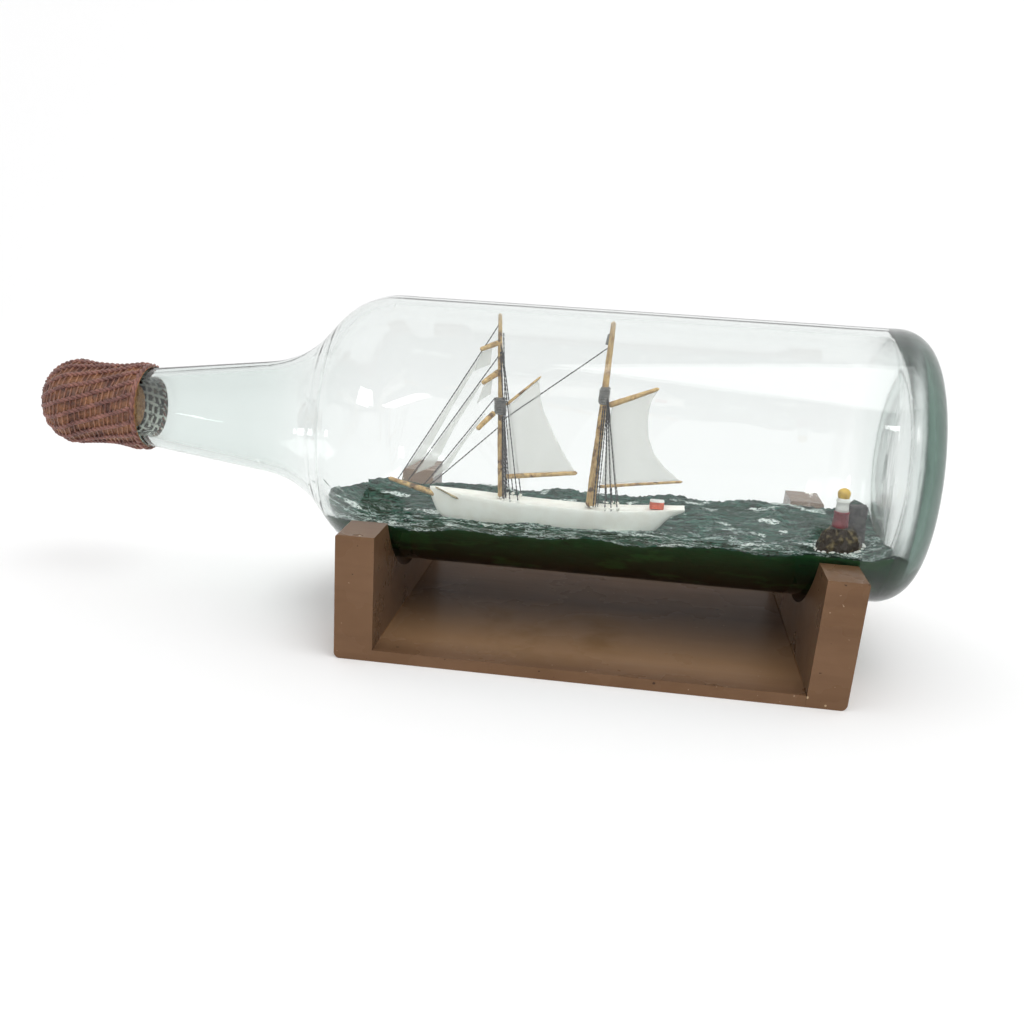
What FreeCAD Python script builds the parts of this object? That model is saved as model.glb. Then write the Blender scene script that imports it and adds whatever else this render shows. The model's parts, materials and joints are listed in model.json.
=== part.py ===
"""Ship in a bottle: a painted wooden stand, a spirits bottle lying in it, the bottle's corked and
cord-covered mouth, and inside it a putty sea, a two-masted sailing vessel and a lighthouse.

Millimetres, +Z up. The origin is the middle of the stand's foot. +X runs along the bottle from its
mouth to its base, +Y is the side behind the ship. The ship's bow points to -X.
Each piece is written to parts/NAME.step.
"""
import os
import FreeCAD
import Part
from FreeCAD import Vector
from math import asin, cos, pi, radians, sin, sqrt

# ---------------------------------------------------------------- driving dimensions: stand
STAND_LENGTH = 166.4
STAND_WIDTH = 117.6
PLANK_THICKNESS = 3.9
UPRIGHT_THICKNESS = 12.9
UPRIGHT_HEIGHT = 42.5
NECK_END_LEAN = 0.2          # how far each upright's top leans outwards
BASE_END_LEAN = 1.7
OUTER_EDGE_ROUND = 2.0
TOP_EDGE_ROUND = 0.8
NOTCH_RADIUS = 45.2
REST_GAP = 0.25              # between the glass and the tips of the notch
BRAD_RADIUS = 0.6
BRAD_LENGTH = 24.0
BRADS_PER_END = 3

# ---------------------------------------------------------------- driving dimensions: bottle
AXIS_Z = 67.94
BODY_RADIUS = 47.5
WALL = 2.9
BASE_END_X = 107.2
HEEL_RADIUS = 11.9
PUNT_DEPTH = 6.0
BASE_THICKNESS = 8.0
BASE_CENTRE_THICKNESS = 5.0
MOUTH_X = -207.0
LIP_RADIUS = 13.6
LIP_END_X = -197.0
LIP_ROUND = 3.0
THROAT_RADIUS = 12.3
BORE_RADIUS = 9.5
BORE_END_X = -186.0
CONE_START_X = -188.0
NECK_ANGLE = 7.3             # degrees, each side of the neck's cone
NECK_END_X = -125.3
NECK_END_RADIUS = 20.5
SHOULDER_ANGLE = 48.0        # steepest slope of the shoulder
HOLLOW_RADIUS = 37.0         # concave arc where the neck meets the shoulder
SHOULDER_RADIUS = 28.0       # convex arc where the shoulder meets the body

# ---------------------------------------------------------------- driving dimensions: closure
CORK_FIT = 0.15
CORK_END_X = -178.0
CORK_TIP_RADIUS = 8.9
CORK_TOP_X = -209.6
CORK_TOP_RADIUS = 7.0
COVER_END_X = -212.0
COVER_THICKNESS = 1.6
COVER_OUTLINE = [(-209.0, 11.6), (-200.0, 16.2), (-188.0, 15.2), (-176.0, 16.5)]   # x, radius
COVER_SKIRT_RADIUS = 16.2
COVER_CROWN_RADIUS = 5.5
COVER_INSIDE_CROWN = (-208.4, 10.9)
COVER_SKIRT_X = -171.5
COVER_INNER_RADIUS = 13.95
COVER_SKIRT_GAP = 0.3

# ---------------------------------------------------------------- driving dimensions: sea
SEA_GAP = 0.05               # between the putty and the glass it is pressed against
SEA_START_X = -108.0
SEA_LEVEL = 37.4             # at the ship, the lowest line of the dished surface
SEA_NEAR_RISE = 5.4          # climb to the glass on the -Y side
SEA_FAR_RISE = 2.8           # climb to the glass on the +Y side
SEA_SLOPE = 0.02             # climb towards the bottle's base
SEA_BANK_X = -72.0           # from here to the neck the putty is banked up
SEA_BANK_RISE = 4.8
SEA_BANK_LENGTH = 30.0
SEA_HALF_WIDTH = 34.0
WAVE_HEIGHT = 0.5

# ---------------------------------------------------------------- driving dimensions: ship
SHIP_Y = -2.0
THREAD = 0.4                 # rigging thread diameter
SAIL = 0.25                  # paper thickness
GAP = 0.04                   # glue line between pieces of the ship
DECK_SINK = 0.3              # how far a mast's foot stands in the deck

# Hull stations from stem to counter: x, half breadth at the sheer, sheer height, keel height
HULL = [
    (-63.8, 0.4, 47.1, 45.0),
    (-62.4, 1.1, 47.0, 41.6),
    (-60.4, 1.9, 46.8, 37.6),
    (-56.0, 3.1, 46.4, 34.5),
    (-47.0, 4.3, 45.8, 33.5),
    (-36.0, 5.0, 45.2, 33.0),
    (-20.0, 5.2, 44.7, 33.0),
    (-4.0, 5.1, 44.6, 33.0),
    (10.0, 4.7, 45.4, 33.5),
    (18.0, 4.2, 46.2, 36.5),
    (24.0, 3.6, 46.8, 43.0),
    (29.3, 2.9, 47.3, 45.8),
]

# Pole masts, each one dowel from a pin just above the deck to the truck
FORE_FOOT = Vector(-37.4, SHIP_Y, 45.2)
FORE_TRUCK = Vector(-41.3, SHIP_Y, 111.4)
FORE_RADII = (1.15, 0.65)
FORE_LASHING = (78.9, 6.4, 2.1)          # middle height, length, radius
MAIN_FOOT = Vector(-4.6, SHIP_Y, 44.6)
MAIN_TRUCK = Vector(-1.4, SHIP_Y, 111.4)
MAIN_RADII = (1.8, 0.75)
MAIN_LASHING = (85.4, 6.6, 1.85)
PIN_RADIUS = 0.25
PIN_HEIGHT = 1.0             # above the mast's foot
BOWSPRIT_HEEL = Vector(-59.5, SHIP_Y, 43.9)
BOWSPRIT_TIP = Vector(-79.6, SHIP_Y, 48.9)
BOWSPRIT_RADII = (1.35, 0.6)
FORE_GAFF = (Vector(-37.8, SHIP_Y, 79.0), Vector(-25.4, SHIP_Y, 90.6), 0.55, 0.35)
FORE_BOOM = (Vector(-36.2, SHIP_Y, 53.2), Vector(-10.1, SHIP_Y, 56.8), 0.95, 0.75)
MAIN_GAFF = (Vector(-1.0, SHIP_Y, 82.0), Vector(16.3, SHIP_Y, 89.4), 1.05, 0.65)
MAIN_BOOM = (Vector(-2.2, SHIP_Y, 52.4), Vector(27.6, SHIP_Y, 56.8), 0.6, 0.45)

DECKHOUSE = (16.7, 21.9, 46.2, 48.9)    # x from, x to, foot, roof
DECKHOUSE_WIDTH = 3.8

# Yards, braced hard round: the arm on the -Y side, the short arm behind the mast, their radii
YARDS = {
    "yard_topgallant": (Vector(-46.0, -12.0, 99.3), Vector(-41.2, -0.6, 101.3), 0.65, 0.85),
    "yard_topsail": (Vector(-44.7, -12.0, 88.0), Vector(-41.0, -0.4, 90.9), 0.7, 0.95),
    "yard_course": (Vector(-45.9, -12.0, 71.7), Vector(-41.4, -2.2, 76.4), 0.85, 1.0),
}

# Shrouds: upper end and lower end as (x, z, distance from the ship's middle plane)
SHROUDS = {
    "fore_shrouds": [
        ((-38.4, 80.0, 1.0), (-35.6, 45.3, 4.7)),
        ((-38.2, 80.5, 1.3), (-33.4, 45.2, 4.8)),
        ((-40.2, 100.5, 0.9), (-30.4, 45.0, 4.9)),
    ],
    "main_shrouds": [
        ((-1.6, 84.9, 1.3), (1.0, 45.0, 4.9)),
        ((-1.3, 84.2, 1.5), (3.2, 45.1, 4.8)),
        ((-1.0, 83.4, 1.7), (5.4, 45.3, 4.7)),
    ],
}

# Halyards: threads led down close to each mast, as (x, z, distance to the -Y side) at either end
HALYARDS = {
    "fore_halyards": [
        ((-39.6, 104.6, 0.3), (-37.9, 82.5, 0.5)),
        ((-40.2, 98.0, 1.2), (-38.5, 82.5, 1.4)),
        ((-37.8, 75.4, 0.4), (-35.8, 45.6, 0.5)),
        ((-38.4, 75.4, 1.5), (-36.5, 45.6, 1.7)),
        ((-37.6, 75.4, 1.2), (-35.3, 45.6, 1.4)),
    ],
    "main_halyards": [
        ((-2.7, 81.8, 1.8), (-3.4, 45.4, 2.4)),
        ((-2.0, 81.8, 1.7), (-2.5, 45.4, 2.1)),
        ((-1.3, 81.8, 1.2), (-1.8, 45.4, 1.5)),
    ],
}

# Lighthouse on its rock
LIGHT_X = 82.4
LIGHT_Y = -10.0
TOWER_FOOT_Z = 47.4
RED_TOP_Z = 53.0
WHITE_TOP_Z = 57.8
TOWER_RADII = (2.75, 2.45, 2.1)

pieces = {}


# ---------------------------------------------------------------- helpers
def line(a, b):
    return Part.LineSegment(a, b).toShape()


def arc(a, middle, b):
    return Part.Arc(a, middle, b).toShape()


def solid_of(shape):
    """The one solid of a boolean's result."""
    return max(shape.Solids, key=lambda s: s.Volume)


def polygon_face(points):
    return Part.Face(Part.makePolygon(list(points) + [points[0]]))


def revolve_about_bottle(edges):
    """Turn a closed outline, drawn as (x, radius) in the XZ plane, about the bottle's axis."""
    face = Part.Face(Part.Wire(Part.__sortEdges__(edges)))
    solid = solid_of(face.revolve(Vector(0, 0, 0), Vector(1, 0, 0), 360))
    solid.translate(Vector(0, 0, AXIS_Z))
    return solid


def rod(a, b, radius_a, radius_b=None):
    """A round bar or thread from a to b, tapered where a second radius is given."""
    along = b.sub(a)
    if radius_b is None or abs(radius_a - radius_b) < 1e-6:
        return Part.makeCylinder(radius_a, along.Length, a, along)
    return Part.makeCone(radius_a, radius_b, along.Length, a, along)


def point_on(a, b, share):
    return a.add(b.sub(a).multiply(share))


def at_height(a, b, z):
    return point_on(a, b, (z - a.z) / (b.z - a.z))


def clear_of(shape, others):
    """Cut away what the others hold, keeping the largest part left."""
    box = shape.BoundBox
    for other in others:
        if box.intersect(other.BoundBox):
            shape = shape.cut(other)
    return solid_of(shape)


def paper(points, lift):
    """A flat paper sail of the given outline, as thick as SAIL about its plane."""
    face = polygon_face(points)
    normal = face.normalAt(0, 0)
    face.translate(normal * (lift - SAIL / 2))
    return face.extrude(normal * SAIL)


# ---------------------------------------------------------------- stand
def upright(side, lean):
    """An end board of the stand: side is -1 at the neck end and +1 at the base end."""
    half = STAND_LENGTH / 2
    r = OUTER_EDGE_ROUND
    t = TOP_EDGE_ROUND
    k = 1 - 1 / sqrt(2)
    inner = half - UPRIGHT_THICKNESS
    h = UPRIGHT_HEIGHT
    y = -STAND_WIDTH / 2

    def p(x, z):
        return Vector(side * (x + lean * z / h), y, z)

    edges = [
        line(p(inner, 0), p(half - r, 0)),
        arc(p(half - r, 0), p(half - r * k, r * k), p(half, r)),
        line(p(half, r), p(half, h - t)),
        arc(p(half, h - t), p(half - t * k, h - t * k), p(half - t, h)),
        line(p(half - t, h), p(inner, h)),
        line(p(inner, h), p(inner, 0)),
    ]
    board = Part.Face(Part.Wire(edges)).extrude(Vector(0, STAND_WIDTH, 0))
    tip_half_width = sqrt((BODY_RADIUS + REST_GAP) ** 2 - (AXIS_Z - h) ** 2)
    notch_z = h + sqrt(NOTCH_RADIUS ** 2 - tip_half_width ** 2)
    start = Vector(side * inner - 20, 0, notch_z)
    notch = Part.makeCylinder(NOTCH_RADIUS, UPRIGHT_THICKNESS + 40, start, Vector(1, 0, 0))
    return board.cut(notch)


def stand():
    inner = STAND_LENGTH / 2 - UPRIGHT_THICKNESS
    plank = Part.makeBox(2 * inner, STAND_WIDTH, PLANK_THICKNESS, Vector(-inner, -STAND_WIDTH / 2, 0))
    neck_end = upright(-1, NECK_END_LEAN)
    base_end = upright(1, BASE_END_LEAN)
    brads = []
    for side in (-1, 1):
        for i in range(BRADS_PER_END):
            y = (i - (BRADS_PER_END - 1) / 2) * STAND_WIDTH * 0.4
            head = Vector(side * (STAND_LENGTH / 2 - 0.6), y, PLANK_THICKNESS / 2)
            brads.append(Part.makeCylinder(BRAD_RADIUS, BRAD_LENGTH, head, Vector(-side, 0, 0)))
    group = Part.makeCompound(brads)
    plank = clear_of(plank, [neck_end, base_end])
    pieces["stand_plank"] = plank.cut(group)
    pieces["stand_upright_neck_end"] = neck_end.cut(group)
    pieces["stand_upright_base_end"] = base_end.cut(group)
    pieces["stand_brads"] = group


# ---------------------------------------------------------------- bottle
def shoulder_points(offset):
    """Ends and middles of the neck, hollow and shoulder arcs, moved in by offset from the outside."""
    neck = radians(NECK_ANGLE)
    steep = radians(SHOULDER_ANGLE)
    half = (neck + steep) / 2
    hollow_x = NECK_END_X - HOLLOW_RADIUS * sin(neck)
    hollow_r = NECK_END_RADIUS + HOLLOW_RADIUS * cos(neck)
    r1 = HOLLOW_RADIUS + offset

    def on_hollow(angle):
        return Vector(hollow_x + r1 * sin(angle), 0, hollow_r - r1 * cos(angle))

    top_r = BODY_RADIUS - SHOULDER_RADIUS
    r2 = SHOULDER_RADIUS - offset
    slope_start_x = hollow_x + HOLLOW_RADIUS * sin(steep)
    slope_start_r = hollow_r - HOLLOW_RADIUS * cos(steep)
    slope_end_r = top_r + SHOULDER_RADIUS * cos(steep)
    slope_end_x = slope_start_x + (slope_end_r - slope_start_r) * cos(steep) / sin(steep)
    top_x = slope_end_x + SHOULDER_RADIUS * sin(steep)

    def on_shoulder(angle):
        return Vector(top_x - r2 * sin(angle), 0, top_r + r2 * cos(angle))

    return {
        "neck_end": on_hollow(neck),
        "hollow_middle": on_hollow(half),
        "slope_start": on_hollow(steep),
        "slope_end": on_shoulder(steep),
        "shoulder_middle": on_shoulder(steep / 2),
        "body_start": on_shoulder(0),
    }


def shoulder_edges(offset):
    p = shoulder_points(offset)
    return p, [
        arc(p["neck_end"], p["hollow_middle"], p["slope_start"]),
        line(p["slope_start"], p["slope_end"]),
        arc(p["slope_end"], p["shoulder_middle"], p["body_start"]),
    ]


def cone_radius(x):
    """Outer radius of the neck's cone at x."""
    return NECK_END_RADIUS + (x - NECK_END_X) * sin(radians(NECK_ANGLE)) / cos(radians(NECK_ANGLE))


def heel_edges(radius, end_x, round_radius, centre_x):
    """The rounded heel and the pushed-up base, from the body's wall to the axis."""
    k = round_radius / sqrt(2)
    cx = end_x - round_radius
    cr = radius - round_radius
    start = Vector(cx, 0, radius)
    middle = Vector(cx + k, 0, cr + k)
    end = Vector(end_x, 0, cr)
    foot = Vector(end_x, 0, cr - 2.0)
    centre = Vector(centre_x, 0, 0)
    dome_radius = (foot.z ** 2 + (end_x - centre_x) ** 2) / (2 * (end_x - centre_x))
    half_angle = asin(foot.z / dome_radius) / 2
    rise = Vector(centre_x + dome_radius * (1 - cos(half_angle)), 0, dome_radius * sin(half_angle))
    return start, [arc(start, middle, end), line(end, foot), arc(foot, rise, centre)]


def cavity(offset):
    """The hollow inside the bottle beyond the bore, drawn in from the glass by offset."""
    p, edges = shoulder_edges(WALL + offset)
    end_x = BASE_END_X - BASE_THICKNESS - offset
    centre_x = BASE_END_X - PUNT_DEPTH - BASE_CENTRE_THICKNESS - offset
    heel_start, heel = heel_edges(BODY_RADIUS - WALL - offset, end_x, HEEL_RADIUS - WALL, centre_x)
    throat = Vector(BORE_END_X, 0, BORE_RADIUS - offset)
    first = Vector(BORE_END_X, 0, 0)
    edges = [line(first, throat), line(throat, p["neck_end"])] + edges
    edges.append(line(p["body_start"], heel_start))
    edges += heel
    edges.append(line(Vector(centre_x, 0, 0), first))
    return revolve_about_bottle(edges)


def bottle():
    p, edges = shoulder_edges(0.0)
    heel_start, heel = heel_edges(BODY_RADIUS, BASE_END_X, HEEL_RADIUS, BASE_END_X - PUNT_DEPTH)
    k = LIP_ROUND * (1 - 1 / sqrt(2))
    lip = [
        Vector(MOUTH_X, 0, 0),
        Vector(MOUTH_X, 0, LIP_RADIUS - LIP_ROUND),
        Vector(MOUTH_X + k, 0, LIP_RADIUS - k),
        Vector(MOUTH_X + LIP_ROUND, 0, LIP_RADIUS),
        Vector(LIP_END_X, 0, LIP_RADIUS),
        Vector(LIP_END_X + 2.0, 0, THROAT_RADIUS),
        Vector(CONE_START_X, 0, cone_radius(CONE_START_X)),
    ]
    outline = [
        line(lip[0], lip[1]),
        arc(lip[1], lip[2], lip[3]),
        line(lip[3], lip[4]),
        line(lip[4], lip[5]),
        line(lip[5], lip[6]),
        line(lip[6], p["neck_end"]),
    ] + edges + [line(p["body_start"], heel_start)] + heel
    outline.append(line(Vector(BASE_END_X - PUNT_DEPTH, 0, 0), lip[0]))
    glass = revolve_about_bottle(outline)
    bore_start = Vector(MOUTH_X - 1, 0, AXIS_Z)
    bore = Part.makeCylinder(BORE_RADIUS, BORE_END_X - MOUTH_X + 1.01, bore_start, Vector(1, 0, 0))
    pieces["bottle_glass"] = solid_of(glass.cut(cavity(0.0)).cut(bore))


# ---------------------------------------------------------------- closure
def closure():
    """The cork in the bore and the knotted cord cover that is worked round it and over the lip."""
    plug_radius = BORE_RADIUS - CORK_FIT
    plug = Part.makeCone(plug_radius, CORK_TIP_RADIUS, CORK_END_X - MOUTH_X,
                         Vector(MOUTH_X, 0, AXIS_Z), Vector(1, 0, 0))
    head = Part.makeCone(CORK_TOP_RADIUS, plug_radius, MOUTH_X - CORK_TOP_X,
                         Vector(CORK_TOP_X, 0, AXIS_Z), Vector(1, 0, 0))
    pieces["cork_stopper"] = solid_of(plug.fuse(head).removeSplitter())

    skirt_inner = cone_radius(COVER_SKIRT_X) + COVER_SKIRT_GAP
    inside_x = COVER_END_X + COVER_THICKNESS - 0.05
    outside = [
        Vector(COVER_END_X, 0, 0),
        Vector(COVER_END_X, 0, COVER_CROWN_RADIUS),
        *[Vector(x, 0, radius) for x, radius in COVER_OUTLINE],
        Vector(COVER_SKIRT_X, 0, COVER_SKIRT_RADIUS),
    ]
    inside = [
        Vector(inside_x, 0, 0),
        Vector(inside_x, 0, COVER_CROWN_RADIUS - 0.5),
        Vector(COVER_INSIDE_CROWN[0], 0, COVER_INSIDE_CROWN[1]),
        Vector(MOUTH_X + LIP_ROUND, 0, COVER_INNER_RADIUS + 0.2),
        Vector(-180.0, 0, COVER_INNER_RADIUS),
        Vector(COVER_SKIRT_X, 0, skirt_inner),
    ]
    edges = [
        line(outside[0], outside[1]),
        arc(outside[1], outside[2], outside[3]),
        arc(outside[3], outside[4], outside[5]),
        line(outside[5], outside[6]),
        line(outside[6], inside[5]),
        line(inside[5], inside[4]),
        line(inside[4], inside[3]),
        arc(inside[3], inside[2], inside[1]),
        line(inside[1], inside[0]),
        line(inside[0], outside[0]),
    ]
    pieces["cord_cover"] = revolve_about_bottle(edges)


# ---------------------------------------------------------------- ship
def hull():
    sections = []
    for x, half, sheer, keel in HULL:
        bilge = keel + (sheer - keel) * 0.35
        points = [
            Vector(x, SHIP_Y - half, sheer),
            Vector(x, SHIP_Y - half * 0.96, bilge),
            Vector(x, SHIP_Y - half * 0.35, keel),
            Vector(x, SHIP_Y + half * 0.35, keel),
            Vector(x, SHIP_Y + half * 0.96, bilge),
            Vector(x, SHIP_Y + half, sheer),
        ]
        sections.append(Part.makePolygon(points + [points[0]]))
    return solid_of(Part.makeLoft(sections, True, False))


def masts_and_spars(body):
    """Returns the pieces grown by the glue line, for later pieces to be cut back from."""
    grown = []

    def spar(name, a, b, radius_a, radius_b):
        pieces[name] = clear_of(rod(a, b, radius_a, radius_b), grown)
        grown.append(rod(a, b, radius_a + GAP, radius_b + GAP))

    sink = Vector(0, 0, -DECK_SINK)
    masts = {
        "fore_mast": (FORE_FOOT, FORE_TRUCK, FORE_RADII, FORE_LASHING),
        "main_mast": (MAIN_FOOT, MAIN_TRUCK, MAIN_RADII, MAIN_LASHING),
    }
    sockets = []
    for name, (foot, truck, (foot_radius, truck_radius), (middle, length, radius)) in masts.items():
        reach = Vector(0, foot_radius + 0.6, 0)
        centre = foot + Vector(0, 0, PIN_HEIGHT)
        pieces[name + "_hinge_pin"] = rod(centre - reach, centre + reach, PIN_RADIUS)
        grown.append(rod(centre - reach, centre + reach, PIN_RADIUS + 0.02))
        spar(name, foot + sink, truck, foot_radius, truck_radius)
        sockets.append(rod(foot + sink, truck, foot_radius + GAP, truck_radius + GAP))
        low = at_height(foot, truck, middle - length / 2)
        high = at_height(foot, truck, middle + length / 2)
        spar(name + "_lashing", low, high, radius, radius)
    spar("bowsprit", BOWSPRIT_HEEL, BOWSPRIT_TIP, *BOWSPRIT_RADII)
    sockets.append(rod(BOWSPRIT_HEEL, BOWSPRIT_TIP, BOWSPRIT_RADII[0] + GAP, BOWSPRIT_RADII[1] + GAP))
    for name, ends in YARDS.items():
        spar(name, *ends)
    spar("fore_gaff", *FORE_GAFF)
    spar("fore_boom", *FORE_BOOM)
    spar("main_gaff", *MAIN_GAFF)
    spar("main_boom", *MAIN_BOOM)

    x0, x1, z0, z1 = DECKHOUSE
    house = Part.makeBox(x1 - x0, DECKHOUSE_WIDTH, z1 - z0, Vector(x0, SHIP_Y - DECKHOUSE_WIDTH / 2, z0))
    pieces["deckhouse"] = solid_of(house.cut(body))
    pieces["hull"] = solid_of(body.cut(Part.makeCompound(sockets)))
    return grown


def rigging(grown, body):
    """Stays, shrouds and backstays: straight lengths of thread, pulled tight and glued."""
    def on_ship(x, z, side=0.0):
        return Vector(x, SHIP_Y + side, z)

    half = THREAD / 2
    stays = {
        "topgallant_stay": (on_ship(-41.4, 107.6), on_ship(-75.8, 49.1)),
        "topmast_stay": (on_ship(-41.0, 96.6), on_ship(-72.2, 48.4)),
        "jib_stay": (on_ship(-41.3, 81.9), on_ship(-66.2, 47.2)),
        "fore_stay": (on_ship(-39.4, 71.4), on_ship(-63.8, 47.6)),
        "main_topmast_stay": (on_ship(-2.6, 102.2), on_ship(-38.0, 74.1)),
    }
    for name, (a, b) in stays.items():
        pieces[name] = clear_of(rod(a, b, half), grown)
        grown.append(rod(a, b, half + GAP))

    for name, lines in SHROUDS.items():
        for side, label in ((-1, "port"), (1, "starboard")):
            threads = []
            for (x0, z0, y0), (x1, z1, y1) in lines:
                a = on_ship(x0, z0, side * y0)
                b = on_ship(x1, z1, side * y1)
                threads.append(clear_of(rod(a, b, half), grown + [body]))
                grown.append(rod(a, b, half + GAP))
            pieces[name + "_" + label] = Part.makeCompound(threads)

    for name, lines in HALYARDS.items():
        threads = []
        for (x0, z0, y0), (x1, z1, y1) in lines:
            a = on_ship(x0, z0, -y0)
            b = on_ship(x1, z1, -y1)
            threads.append(clear_of(rod(a, b, half), grown + [body]))
            grown.append(rod(a, b, half + GAP))
        pieces[name] = Part.makeCompound(threads)

    tail = rod(Vector(-61.6, SHIP_Y - 2.0, 47.5), Vector(-52.3, SHIP_Y - 4.5, 44.4), 0.25, 0.4)
    pieces["pull_thread_tail"] = clear_of(tail, grown + [body])
    pennant = polygon_face([on_ship(-2.2, 107.4), on_ship(-2.3, 103.1), on_ship(-3.7, 103.3), on_ship(-3.2, 106.6)])
    pennant.translate(Vector(0, -SAIL / 2, 0))
    pieces["pennant"] = clear_of(pennant.extrude(Vector(0, SAIL, 0)), grown)


def sails(grown):
    """Paper sails, flat and set in the ship's middle plane, or hung from the yards."""
    def sheet(name, outline):
        points = [Vector(x, SHIP_Y, z) for x, z in outline]
        face = polygon_face(points)
        face.translate(Vector(0, -SAIL / 2, 0))
        pieces[name] = clear_of(face.extrude(Vector(0, SAIL, 0)), grown)

    sheet("fore_sail", [(-36.6, 79.0), (-26.0, 89.5), (-25.0, 82.3), (-23.4, 77.6), (-21.2, 73.5),
                        (-18.3, 68.3), (-14.6, 62.2), (-11.0, 57.2), (-35.4, 54.0)])
    sheet("main_sail", [(0.4, 82.2), (15.8, 88.4), (14.1, 85.2), (13.4, 81.4), (13.4, 77.0), (14.2, 71.6),
                        (16.4, 66.4), (20.6, 61.6), (26.4, 57.2), (-1.2, 53.4)])
    sheet("flying_jib", [(-46.6, 97.8), (-72.7, 53.4), (-69.2, 54.4), (-67.0, 57.0)])
    sheet("outer_jib", [(-47.0, 86.6), (-69.6, 51.4), (-64.6, 51.2), (-62.4, 55.2)])
    sheet("inner_jib", [(-45.0, 75.8), (-63.4, 49.9), (-60.4, 51.0), (-57.6, 54.2)])

    for name, yard, drop in (("topgallant_sail", "yard_topgallant", 5.6), ("topsail", "yard_topsail", 5.0)):
        near, far, near_radius, far_radius = YARDS[yard]
        below = Vector(0, 0, -far_radius - 0.1)
        head_out = point_on(near, far, 0.06) + below
        head_in = point_on(near, far, 0.60) + below
        fall = Vector(-0.4, 0, -drop)
        foot_in = head_in + fall
        foot_out = head_out + fall + head_out.sub(head_in) * 0.5
        pieces[name] = clear_of(paper([head_out, head_in, foot_in, foot_out], 0.0), grown)


def lighthouse():
    centre = Vector(LIGHT_X, LIGHT_Y, 0)
    r0, r1, r2 = TOWER_RADII
    red = Part.makeCone(r0, r1, RED_TOP_Z - TOWER_FOOT_Z, centre + Vector(0, 0, TOWER_FOOT_Z))
    white = Part.makeCone(r1 - 0.15, r2 - 0.05, WHITE_TOP_Z - RED_TOP_Z, centre + Vector(0, 0, RED_TOP_Z))
    dome_radius = r2 + 0.05
    dome_start = WHITE_TOP_Z
    lantern = Part.makeCylinder(dome_radius, 1.2, centre + Vector(0, 0, dome_start))
    cap = Part.makeSphere(dome_radius, centre + Vector(0, 0, dome_start + 1.2), Vector(0, 0, 1), 0, 90, 360)
    pieces["lighthouse_red_base"] = red
    pieces["lighthouse_white_tower"] = white
    pieces["lighthouse_lantern_dome"] = solid_of(lantern.fuse(cap).removeSplitter())

    # The rock: rings of uneven facets, from under the sea up to the tower's foot
    rings = [(34.5, 8.3, 7.2), (41.0, 8.0, 7.0), (44.5, 6.6, 5.8), (TOWER_FOOT_Z, 4.0, 3.6)]
    wires = []
    for level, (z, rx, ry) in enumerate(rings):
        corners = []
        for i in range(9):
            angle = 2 * pi * i / 9
            bump = 1 + 0.08 * sin(2.7 * i + 1.9 * level)
            corners.append(Vector(LIGHT_X + 0.8 + rx * bump * cos(angle), LIGHT_Y + ry * bump * sin(angle), z))
        wires.append(Part.makePolygon(corners + [corners[0]]))
    rock = Part.makeLoft(wires, True, True)
    block = Part.makeBox(6.2, 4.2, 17.0, Vector(LIGHT_X + 3.2, LIGHT_Y + 2.9, 37.4))
    pieces["harbour_block"] = block
    pieces["lighthouse_rock"] = solid_of(rock.cut(grown_box(block, GAP)))


def grown_box(shape, by):
    box = shape.BoundBox
    return Part.makeBox(box.XLength + 2 * by, box.YLength + 2 * by, box.ZLength + 2 * by,
                        Vector(box.XMin - by, box.YMin - by, box.ZMin - by))


# ---------------------------------------------------------------- sea
def sea_height(x, y):
    """Height of the putty's surface: dished along the ship, with low swells across it."""
    across = (y - SHIP_Y) / SEA_HALF_WIDTH
    rise = SEA_NEAR_RISE if across < 0 else SEA_FAR_RISE
    swell = sin(x / 6.1 + y / 9.0) + 0.6 * sin(x / 3.7 - y / 5.2 + 1.0)
    bank = SEA_BANK_RISE * (max(0.0, SEA_BANK_X - x) / SEA_BANK_LENGTH) ** 2
    return SEA_LEVEL + SEA_SLOPE * x + rise * across * across + bank + WAVE_HEIGHT * swell


def sea(under):
    rows = []
    for i in range(41):
        x = SEA_START_X - 4 + i * (BASE_END_X + 8 - SEA_START_X) / 40
        rows.append([Vector(x, -50 + j * 5.0, sea_height(x, -50 + j * 5.0)) for j in range(21)])
    surface = Part.BSplineSurface()
    surface.interpolate(rows)
    water = surface.toShape().extrude(Vector(0, 0, -80))
    room = cavity(SEA_GAP)
    end = Part.makeBox(400, 200, 200, Vector(SEA_START_X, -100, 0))
    body = solid_of(room.common(end))
    body = solid_of(body.common(water))
    for piece in under:
        body = body.cut(piece)
    pieces["sea_putty"] = solid_of(body)


def check_and_write():
    os.makedirs("parts", exist_ok=True)
    for name, shape in sorted(pieces.items()):
        ok = shape.isValid() and all(solid.isClosed() for solid in shape.Solids)
        print("%-26s %2d solid(s) %10.2f mm3 %s" % (name, len(shape.Solids), shape.Volume, "" if ok else "BAD"))
        shape.exportStep("parts/" + name + ".step")


def main():
    stand()
    bottle()
    closure()
    body = hull()
    grown = masts_and_spars(body)
    rigging(grown, body)
    sails(grown)
    lighthouse()
    sea([body, pieces["lighthouse_rock"], pieces["harbour_block"]])
    check_and_write()


main()
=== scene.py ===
"""Ship in a bottle on a painted wooden stand: materials, fine pieces, light and camera round its frame.

Metres, +Z up, origin at the middle of the stand's foot, +X along the bottle towards its base.
Sizes below are written in millimetres and turned into metres by MM.
"""

import json
import random
from math import atan2, cos, hypot, pi, radians, sin, sqrt

import bmesh
import bpy
import numpy as np
from mathutils import Matrix, Vector, noise
from mathutils.bvhtree import BVHTree


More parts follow.
